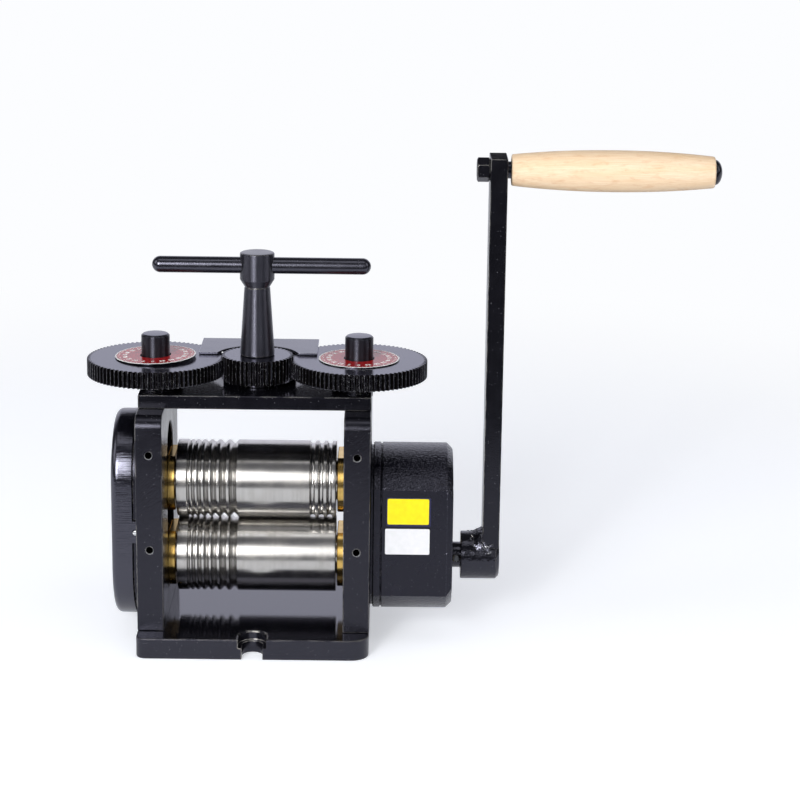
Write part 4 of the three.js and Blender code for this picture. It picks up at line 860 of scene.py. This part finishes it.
# The weld fills the corner between hub and arm in overlapping puddles, with a short bead down the front

weldLook = dict(reach=4.4, rise=2.0, step=1.45, ripple=0.55, seed=5, halfWidth=10.4, slices=56, spatter=12)
weldLines = (  # points along the bead and its branch, each with its thickness
    (((109.2, -9.2, 45.6), (109.9, -10.0, 43.9), (110.7, -10.5, 42.5), (111.6, -10.9, 41.4),
      (112.3, -11.2, 40.1)), 1.15),
    (((110.9, -10.35, 42.9), (112.4, -10.3, 43.7), (113.8, -10.1, 44.4)), 0.6),
)


def weldSection(y, draw, puddle):  # a three-cornered fillet: along the hub, up the arm, and into the joint
    hubZ = lowerAxisZ + math.sqrt(max(hubRadius ** 2 - y ** 2, 9))
    face = crankLook["armInner"]
    fade = min(1.0, (weldLook["halfWidth"] + 0.6 - abs(y)) / 2.0)
    dip = weldLook["ripple"] * puddle
    reach = (weldLook["reach"] - dip + draw.uniform(-0.35, 0.35)) * (0.35 + 0.65 * fade)
    rise = (weldLook["rise"] - 0.5 * dip + draw.uniform(-0.2, 0.25)) * (0.4 + 0.6 * fade)
    ring = [(face + 0.5, y, hubZ - 0.6), (face + 0.5, y, hubZ + rise), (face - 0.15, y, hubZ + rise)]
    for t in [i / 9 for i in range(1, 9)]:
        bulge = 0.35 * math.sin(math.pi * t) + 0.12 * math.sin(5 * math.pi * t + 2 * puddle)
        ring.append((face - 0.15 - reach * t, y, hubZ + rise * (1 - t) ** 1.25 + bulge * (1 - 0.6 * t)))
    return ring + [(face - 0.15 - reach, y, hubZ + 0.02), (face - reach * 0.8, y, hubZ - 0.5)]


def weldBead(line, thickness, draw):
    points = [Vector(point) for point in line]
    fine = [first.lerp(last, i / 5) for first, last in zip(points, points[1:]) for i in range(5)]
    fine.append(points[-1])
    rings = []
    for i, point in enumerate(fine):
        along = (fine[min(i + 1, len(fine) - 1)] - fine[max(i - 1, 0)]).normalized()
        sideways = along.cross(Vector((0, -1, 0))).normalized()
        outward = sideways.cross(along).normalized()
        radius = thickness * (0.75 + 0.35 * abs(math.sin(i * 1.1))) * draw.uniform(0.85, 1.15)
        if i in (0, len(fine) - 1):
            radius *= 0.45
        rings.append([tuple(point + sideways * radius * math.cos(a) + outward * radius * 0.6 * math.sin(a))
                      for a in [2 * math.pi * k / 14 for k in range(14)]])
    return loft(rings)


def spatterDrop(draw):  # a small drop on the hub beside the fillet
    y = draw.uniform(-10.5, 6)
    size = draw.uniform(0.22, 0.5)
    ball = bmesh.new()
    bmesh.ops.create_icosphere(ball, subdivisions=2, radius=size * mm)
    for vert in ball.verts:
        vert.co *= draw.uniform(0.85, 1.15)
    z = lowerAxisZ + math.sqrt(max(hubRadius ** 2 - y ** 2, 4))
    bmesh.ops.translate(ball, verts=ball.verts, vec=Vector((draw.uniform(101.5, 104.6), y, z)) * mm)
    return ball


def weldForm():
    draw = random.Random(weldLook["seed"])
    half, slices = weldLook["halfWidth"], weldLook["slices"]
    rings = []
    for i in range(slices + 1):
        y = -half + 2 * half * i / slices
        puddle = ((y + half) / weldLook["step"]) % 1
        rings.append(weldSection(y, draw, puddle ** 2))
    forms = [loft(rings)] + [weldBead(line, thickness, draw) for line, thickness in weldLines]
    return merged(forms + [spatterDrop(draw) for _ in range(weldLook["spatter"])])


addPiece("crankWeld", weldForm(), "paintedWeld", "crank", "crank_weld", angle=45)

# Grip, bolt and nut

gripLook = dict(start=118.625, end=213.425, endRadius=7.4, midRadius=9.742, fullness=2.1, bore=4.1, round=0.9)
gripStart, gripEnd, bore, turn = (gripLook[key] for key in ("start", "end", "bore", "round"))


def gripRadius(t):
    belly = 1 - abs(2 * min(max(t, 0), 1) - 1) ** gripLook["fullness"]
    return gripLook["endRadius"] + (gripLook["midRadius"] - gripLook["endRadius"]) * belly


def gripPoint(turnDegrees, end):  # a point on the rounded edge at one end of the grip
    a = math.radians(turnDegrees)
    along = turn * (1 - math.cos(a))
    return (gripRadius(end) - turn * (1 - math.sin(a)), gripEnd - along if end else gripStart + along)


straight = gripEnd - gripStart - 2 * turn
gripProfile = [(bore + 0.4, gripStart)] + [gripPoint(90 * i / 5, 0) for i in range(6)]
gripProfile += [(gripRadius(i / 60), gripStart + turn + straight * i / 60) for i in range(1, 60)]
gripProfile += [gripPoint(90 - 90 * i / 5, 1) for i in range(6)]
gripProfile += [(bore + 0.4, gripEnd), (bore, gripEnd - 0.4), (bore, gripStart + 0.4)]
addPiece("woodenGrip", turned("x", gripProfile, (0, gripAxisZ), 96, hollow=True), "paleBeech", "grip", "grip",
         angle=40)

boltLook = dict(start=102.575, thread=3.0, shoulder=116.675, radius=4.0, capStart=213.625, capRadius=5.9,
                capHeight=3.3)
start, thread, shoulder, radius, capStart, capRadius, capHeight = boltLook.values()
boltProfile = [(thread - 0.6, start), (thread, start + 0.6), (thread, shoulder), (radius, shoulder),
               (radius, capStart), (capRadius - 0.1, capStart)]
boltProfile += [(capRadius * out, capStart + capHeight * along) for out, along in arc(1, 0, 90, 12)]
addPiece("gripBolt", turned("x", boltProfile, (0, gripAxisZ), 72), "boltPaint", "crank", "grip_bolt")

nutLook = dict(flats=10.0, start=102.525, end=108.6, bore=3.12, chamferRadius=4.75, chamferSlope=0.577)
flats, nutStart, nutEnd, bore, chamferRadius, slope = nutLook.values()


def nutRing(x, clip, radius=None):
    points = []
    for i in range(120):
        a = 2 * math.pi * i / 120
        hexRadius = flats / 2 / math.cos((a + math.pi / 6) % (math.pi / 3) - math.pi / 6)
        r = radius if radius else min(hexRadius, clip)
        points.append((x, r * math.cos(a), gripAxisZ + r * math.sin(a)))
    return points


nutRings = [nutRing(nutStart, 0, bore + 0.4)]
rise = flats / 2 / math.cos(math.pi / 6) - chamferRadius + 0.05
for start, direction in ((nutStart, 1), (nutEnd, -1)):
    rows = [nutRing(start + direction * rise * slope * k / 6, chamferRadius + rise * k / 6) for k in range(7)]
    nutRings += rows[::direction]
nutRings += [nutRing(nutEnd, 0, bore + 0.4), nutRing(nutEnd - 0.4, 0, bore), nutRing(nutStart + 0.4, 0, bore)]
addPiece("gripNut", loft(nutRings, closed=True), "boltPaint", "crank", "grip_nut",
         angle=20)
print("crank made")

# Tee handle

teeLook = dict(foot=8.2, neck=6.0, head=8.15, footZ=135.1, neckZ=168.3, headZ=171.5, topZ=184.4, barZ=178.1,
               barRadius=3.9, barLeft=-49.5, barRight=53.6)
foot, neck, head, footZ, neckZ, headZ, topZ, barZ, barRadius, barLeft, barRight = teeLook.values()
teeProfile = [(foot - 0.5, footZ), (foot - 0.15, footZ + 0.15), (foot, footZ + 0.5),
              (neck + 0.1, neckZ - 0.9), (neck, neckZ - 0.7), (neck - 0.35, neckZ - 0.6),
              (neck - 0.35, neckZ - 0.15), (neck + 0.15, neckZ), (head - 0.12, headZ - 0.15),
              (head, headZ + 0.1), (head, topZ - 0.8), (head - 0.2, topZ - 0.3),
              (head - 0.7, topZ - 0.05), (head - 1.4, topZ)]
addPiece("teeHub", turned("z", teeProfile, (0, 0), 96), "turnedBlackSteel", "tee", "tee_hub",
         angle=26, cuts=[rod("x", 4.02, -20, 20, (0, barZ)), rod("z", 5.12, 134, 149.7)])

barProfile = []
for end, direction in ((barLeft, 1), (barRight, -1)):
    cap = [(barRadius * out, end + direction * barRadius * (1 - along)) for along, out in arc(1, 0, 90, 12)]
    barProfile += cap[::direction]
addPiece("teeBar", turned("x", barProfile, (0, barZ), 72), "oiledBlackSteel", "tee", "tee_bar")

topGear = dict(play=0.16, dedendum=1.35, addendum=0.848)  # tooth shape of the pinion and the dial gears
pinionForm = gearForm("z", 44, 0.75, 0, (0, 0), 123.2, 134.9, 5.12, 0.25, **topGear)
pinionHub = [(5.12, 120.75), (9.2, 120.75), (9.5, 121.05), (9.5, 123.3), (5.12, 123.3)]
addPiece("teePinion", merged([pinionForm, turned("z", pinionHub, (0, 0), 72, hollow=True)]),
         ("blackGearTeeth", "blackGearFace"), "tee", "tee_pinion", angle=24, pick=isTop)
print("tee handle made")

# Dial gears, dials and adjusting screws

dialLook = dict(radius=19.2, rim=0.7, thick=0.6, bore=7.35, numbers=20, numberStep=5, figureSize=2.95,
                figureWeight=0.06, figureAt=14.6, tickOuter=17.9, ticks=60, tickShort=0.6, tickLong=1.1,
                tickWidth=0.2, raised=0.04, leftTilt=1.7)
stemLook = dict(pitch=2.0, crest=5.0, root=4.15, low=87.05, high=115.4, radius=6.75, flat=5.6, topZ=144.8)
dialTop = gearTopZ + dialLook["thick"]


def dialTick(centre, i):
    length = dialLook["tickShort"] if i % 3 else dialLook["tickLong"]
    outer, half = dialLook["tickOuter"], dialLook["tickWidth"] / 2
    a = 2 * math.pi * i / dialLook["ticks"]
    ring = [(centre[0] + u * math.cos(a) - v * math.sin(a), centre[1] + u * math.sin(a) + v * math.cos(a))
            for u, v in ((outer - length, -half), (outer, -half), (outer, half), (outer - length, half))]
    return prism("z", ring, dialTop - 0.05, dialTop + dialLook["raised"])


def dialFigure(centre, i):
    curve = bpy.data.curves.new("figure", "FONT")
    curve.body = str(i * dialLook["numberStep"])
    curve.size = dialLook["figureSize"] * mm
    curve.align_x = "CENTER"
    curve.align_y = "CENTER"
    curve.extrude = dialLook["raised"] * mm
    curve.offset = dialLook["figureWeight"] * mm
    figure = addObject("figure", curve)
    mesh = shownMesh(figure)
    a = -2 * math.pi * i / dialLook["numbers"] - math.pi / 2
    at = Matrix.Translation(Vector((centre[0] + dialLook["figureAt"] * math.cos(a),
                                    centre[1] + dialLook["figureAt"] * math.sin(a), dialTop)) * mm)
    mesh.transform(at @ Matrix.Rotation(a + math.pi / 2, 4, "Z"))
    form = bmesh.new()
    form.from_mesh(mesh)
    bpy.data.objects.remove(figure)
    bpy.data.meshes.remove(mesh)
    bpy.data.curves.remove(curve)
    return form


def threadedScrew(centre):  # a stem with a coarse thread below it, cut as a true helix
    pitch, crest, root, low, high, stemRadius, flat, topZ = stemLook.values()
    segments = 48
    rings = [[(centre[0], centre[1], low)] * segments]
    steps = int((high - low) / 0.2)
    for k in range(steps + 1):
        z = low + (high - low) * k / steps
        ring = []
        for i in range(segments):
            a = 2 * math.pi * i / segments
            depth = abs(2 * ((z / pitch - i / segments) % 1) - 1)
            radius = root + (crest - root) * min(1, max(0, 1.35 * (1 - depth)))
            if k < 6:  # a lead-in cone
                radius = min(radius, 3.6 + 0.24 * k)
            ring.append((centre[0] + radius * math.cos(a), centre[1] + radius * math.sin(a), z))
        rings.append(ring)
    rings.append([(centre[0], centre[1], high)] * segments)
    profile = [(6.4, 115.2), (stemRadius, 115.55), (stemRadius, topZ - 1.1), (6.6, topZ - 0.8),
               (5.95, topZ - 0.2), (5.6, topZ - 0.08), (0, topZ)]
    stem = toObject(turned("z", profile, centre, 80), "stem")
    boolean(stem, [block("z", centre[0] - 9, centre[0] + 9, flat, 9, 114, 136.2)])
    return merged([loft(rings), toForm(stem)])


for name, side in (("left", -1), ("right", 1)):
    centre = (side * screwX, 0)
    phase = (math.pi if side > 0 else 0) + math.pi / 85
    disc = gearForm("z", 85, 0.75, phase, centre, 125.1, 133.2, 7.0, 0.25, **topGear)
    hubProfile = [(7.0, 120.75), (12.7, 120.75), (13.0, 121.05), (13.0, 125.2), (7.0, 125.2)]
    gearHub = turned("z", hubProfile, centre, 80, hollow=True)
    addPiece(name + "DialGear", merged([disc, gearHub]), ("blackGearTeeth", "blackGearFace"), name + "_gear",
             name + "_dial_gear", angle=24, pick=isTop)

    outer, rim, bore = dialLook["radius"], dialLook["rim"], dialLook["bore"]
    dialProfile = [(bore, gearTopZ + 0.02), (outer, gearTopZ + 0.02), (outer, dialTop - 0.1),
                   (outer - 0.1, dialTop), (outer - rim, dialTop), (outer - rim - 0.03, dialTop - 0.03),
                   (bore + 0.2, dialTop - 0.03), (bore, dialTop - 0.15)]
    dial = toObject(turned("z", dialProfile, centre, 160, hollow=True), name + "Dial")

    def dialPart(face):  # 0 for the printed face, 1 for the pale rim, 2 for the edge and underside
        middle = face.center / mm
        if face.normal.z <= 0.3:
            return 2
        return math.hypot(middle.x - centre[0], middle.y - centre[1]) > outer - rim - 0.02
    dress(dial, ("redDialPrint", "whiteDialPrint", "blackGearTeeth"), dialPart)
    ticks = [dialTick(centre, i) for i in range(dialLook["ticks"])]
    figures = [dialFigure(centre, i) for i in range(dialLook["numbers"])]
    marks = toObject(merged(ticks + figures), name + "DialMarks")
    if side < 0:  # this dial has lifted a little at its right edge
        pivot = Matrix.Translation(Vector((centre[0] - outer, centre[1], gearTopZ)) * mm)
        tilt = pivot @ Matrix.Rotation(-math.radians(dialLook["leftTilt"]), 4, "Y") @ pivot.inverted()
        dial.data.transform(tilt)
        marks.data.transform(tilt)
    addPiece(name + "Dial", dial, None, name + "_gear", name + "_dial")
    addPiece(name + "DialMarks", marks, "whiteDialPrint", name + "_gear")
    addPiece(name + "AdjustingScrew", threadedScrew(centre), ("blackStemSteel", "facedBlackSteel"),
             name + "_screw", name + "_adjusting_screw", pick=isTop)
print("dial gears made")

# Index plate and the block under it

indexLook = dict(halfX=28.275, frontY=5.0, backY=34.7, footZ=133.5, thick=1.0, notch=19.99, blockHalf=17.6,
                 blockFrontY=17.74, blockBackY=25)
halfX, frontY, backY, footZ, thick, notch, blockHalf, blockFrontY, blockBackY = indexLook.values()
notchEdge = math.degrees(math.asin(frontY / notch))
outline = [(-halfX, frontY)] + arc(notch, 180 - notchEdge, notchEdge, 60)
outline += [(halfX, frontY), (halfX, backY), (-halfX, backY)]
addPiece("indexPlate", prism("z", outline, footZ, footZ + thick), "blackSheetSteel", "frame", "index_plate",
         edge=(0.12, 35, 2))
addPiece("indexBlock", block("z", -blockHalf, blockHalf, blockFrontY, blockBackY, bridgeTopZ, footZ),
         "blackEnamel", "frame", "index_block", edge=(0.4,),
         cuts=[rod("z", 2.12, 120, 130.5, (side * bridgeLook["indexX"], bridgeLook["indexY"]), 32)
               for side in (-1, 1)])

# CAD nodes whose shape is right get their finish

keptNodes = dict(
    oiledBlackSteel=["index_screw_1", "index_screw_2", "spindle_screw", "tee_spindle", "hub_set_screw"],
    brightZinc=["left_lift_spring", "right_lift_spring"] + ["base_screw_%d" % i for i in range(1, 5)],
    groundRollSteel=["output_gear", "layshaft", "lower_roll_gear", "upper_roll_gear"])
for finish, names in keptNodes.items():
    for name in names:
        dress(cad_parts[name], [finish])
print("kept nodes dressed")

# Stage and light

stageLook = dict(floor="#e6e8ec", farFloor="#fcfdff", cameraLift=0.58, mirrorLift=0.42,
                 mirroredWall="#f0f1ff", seenWall="#fdfdfe", fadeStart=0.3, fadeEnd=0.8,
                 tableEdge=-0.33, room="#5c5c60", reach=6.0, backdropTan=0.81, backdropHalf=0.9,
                 roomGrey=0.12, backdrop=1.0)


def makeFloor():
    # a pale table: the camera sees it a little lifted and fading to white far off; what the mill mirrors
    # of it ends at the table's edge, where the dark room begins
    material, tree, coords = startMaterial("paleFloor")
    rays = addNode(tree, "LightPath").outputs
    edge = stageLook["tableEdge"]
    place = addNode(tree, "SeparateXYZ", (coords,))
    beyond = addNode(tree, "MapRange", (place.outputs["Y"], edge + 0.02, edge - 0.02))
    dark = addNode(tree, "Math", (beyond, rays["Is Glossy Ray"]), operation="MULTIPLY")
    away = addNode(tree, "VectorMath", (coords,), operation="LENGTH")
    far = addNode(tree, "MapRange", (away, stageLook["fadeStart"], stageLook["fadeEnd"]),
                  interpolation_type="SMOOTHSTEP")
    fade = addNode(tree, "Math", (far, rays["Is Camera Ray"]), operation="MULTIPLY")
    first = addNode(tree, "Math", (rays["Glossy Depth"], 1.5), operation="LESS_THAN")
    mirror = addNode(tree, "Math", (first, rays["Is Glossy Ray"]), operation="MULTIPLY")
    mirrorLift = addNode(tree, "Math", (mirror, stageLook["mirrorLift"]), operation="MULTIPLY")
    lift = addNode(tree, "Math", (rays["Is Camera Ray"], stageLook["cameraLift"], mirrorLift),
                   operation="MULTIPLY_ADD")
    matt = addNode(tree, "BsdfDiffuse", {"Color": stageLook["floor"]})
    glow = addNode(tree, "Emission", {"Color": stageLook["floor"], "Strength": lift})
    near = addNode(tree, "AddShader", (matt, glow))
    white = addNode(tree, "Emission", {"Color": stageLook["farFloor"], "Strength": 1.0})
    pale = addNode(tree, "MixShader", (fade, near, white))
    room = addNode(tree, "BsdfDiffuse", {"Color": stageLook["room"]})
    addNode(tree, "OutputMaterial", {"Surface": addNode(tree, "MixShader", (dark, pale, room))})
    form = bmesh.new()
    reach = stageLook["reach"]
    corners = ((-reach, -reach, 0), (reach, -reach, 0), (reach, reach, 0), (-reach, reach, 0))
    form.faces.new([form.verts.new(point) for point in corners])
    floor = toObject(form, "floor")
    floor.data.materials.append(material)


def makeWorld():
    # white to the camera; in reflections a white backdrop behind the mill and a dim room elsewhere
    world = bpy.data.worlds.new("studio")
    bpy.context.scene.world = world
    world.use_nodes = True
    tree = world.node_tree
    tree.nodes.clear()
    parts = addNode(tree, "SeparateXYZ", (addNode(tree, "TexCoord").outputs["Generated"],)).outputs
    slope = addNode(tree, "Math", (parts["Z"], parts["Y"]), operation="DIVIDE")
    tangent, halfWidth = stageLook["backdropTan"], stageLook["backdropHalf"]
    low = addNode(tree, "MapRange", (slope, tangent + 0.06, tangent - 0.06))
    behind = addNode(tree, "MapRange", (parts["Y"], 0.0, 0.05))
    aside = addNode(tree, "Math", (parts["X"], parts["Y"]), operation="DIVIDE")
    sideways = addNode(tree, "Math", (aside,), operation="ABSOLUTE")
    near = addNode(tree, "MapRange", (sideways, halfWidth + 0.15, halfWidth - 0.15))
    sheet = addNode(tree, "Math", (low, behind), operation="MULTIPLY")
    wall = addNode(tree, "Math", (sheet, near), operation="MULTIPLY")
    glow = addNode(tree, "MapRange", (wall, 0.0, 1.0, stageLook["roomGrey"], stageLook["backdrop"]))
    seen = addNode(tree, "LightPath").outputs["Is Camera Ray"]
    strength = addNode(tree, "Math", (glow, seen), operation="MAXIMUM")
    tint = layered(tree, stageLook["mirroredWall"], (seen, stageLook["seenWall"]))
    background = addNode(tree, "Background", {"Color": tint, "Strength": strength})
    addNode(tree, "OutputWorld", {"Surface": background})


# lamp: place, point it looks at, width, height, brightness (1 is as bright as white paper) and how much
# of its width and height fades out at each edge
lampLook = {
    "frontSoftbox": ((-0.85, -2.0, 0.905), (-0.85, 0.0, 0.905), 1.9, 1.5, 10.6, 0.36),
    "windowStrip": ((-0.64, -1.95, 0.8), (-0.64, 0.0, 0.8), 0.3, 1.3, 16.0, 0.15),
    "frontFill": ((0.95, -2.0, 1.0), (0.4, 0.0, 0.3), 1.7, 1.6, 1.2, 0.3),
    "overheadStrip": ((0.0, -0.5, 1.9), (0.0, 0.0, 0.08), 2.4, 0.9, 1.3, 0.3),
    "leftSoftbox": ((-1.75, -0.55, 1.1), (0.0, 0.0, 0.08), 1.3, 1.5, 1.7, 0.2),
    "rightSoftbox": ((1.85, -0.45, 1.1), (0.0, 0.0, 0.08), 1.3, 1.5, 1.7, 0.2),
}


def fadeLamp(lamp, share):  # the cloth of a softbox is dimmer towards its edges
    lamp.use_nodes = True
    tree = lamp.node_tree
    tree.nodes.clear()
    place = addNode(tree, "SeparateXYZ", (addNode(tree, "NewGeometry").outputs["Parametric"],)).outputs
    fades = []
    for axis in ("X", "Y"):
        shifted = addNode(tree, "Math", (place[axis], 0.5), operation="SUBTRACT")
        away = addNode(tree, "Math", (shifted,), operation="ABSOLUTE")
        fades.append(addNode(tree, "MapRange", (away, 0.5, 0.5 - share), interpolation_type="SMOOTHSTEP"))
    both = addNode(tree, "Math", fades, operation="MULTIPLY")
    addNode(tree, "OutputLight", {"Surface": addNode(tree, "Emission", {"Strength": both})})


def makeLamps():
    for name, (place, target, width, height, brightness, share) in lampLook.items():
        lamp = bpy.data.lights.new(name, "AREA")
        lamp.shape = "RECTANGLE"
        lamp.size = width
        lamp.size_y = height
        lamp.energy = brightness * math.pi * width * height
        fadeLamp(lamp, share)
        holder = addObject(name, lamp)
        holder.location = place
        towards = Vector(target) - Vector(place)
        holder.rotation_euler = towards.to_track_quat("-Z", "Y").to_euler()
        holder.visible_camera = False


cameraLook = dict(place=(0.06367, -1.10946, 0.40403), tilt=14.684, turn=0.227, roll=0.747, lens=108.0)


def makeCamera():
    tilt, turn, roll = (math.radians(cameraLook[key]) for key in ("tilt", "turn", "roll"))
    forward = Vector((math.sin(turn) * math.cos(tilt), math.cos(turn) * math.cos(tilt), -math.sin(tilt)))
    right = Vector((math.cos(turn), -math.sin(turn), 0))
    up = right.cross(forward)
    rolledRight = right * math.cos(roll) + up * math.sin(roll)
    rolledUp = up * math.cos(roll) - right * math.sin(roll)
    data = bpy.data.cameras.new("camera")
    data.lens = cameraLook["lens"]
    data.sensor_width = 36.0
    camera = addObject("camera", data)
    axes = Matrix((rolledRight, rolledUp, -forward)).transposed()
    camera.matrix_world = Matrix.Translation(cameraLook["place"]) @ axes.to_4x4()
    bpy.context.scene.camera = camera


makeFloor()
makeWorld()
makeLamps()
makeCamera()
bpy.context.scene.view_settings.view_transform = "Standard"
print("stage, lamps and camera made")
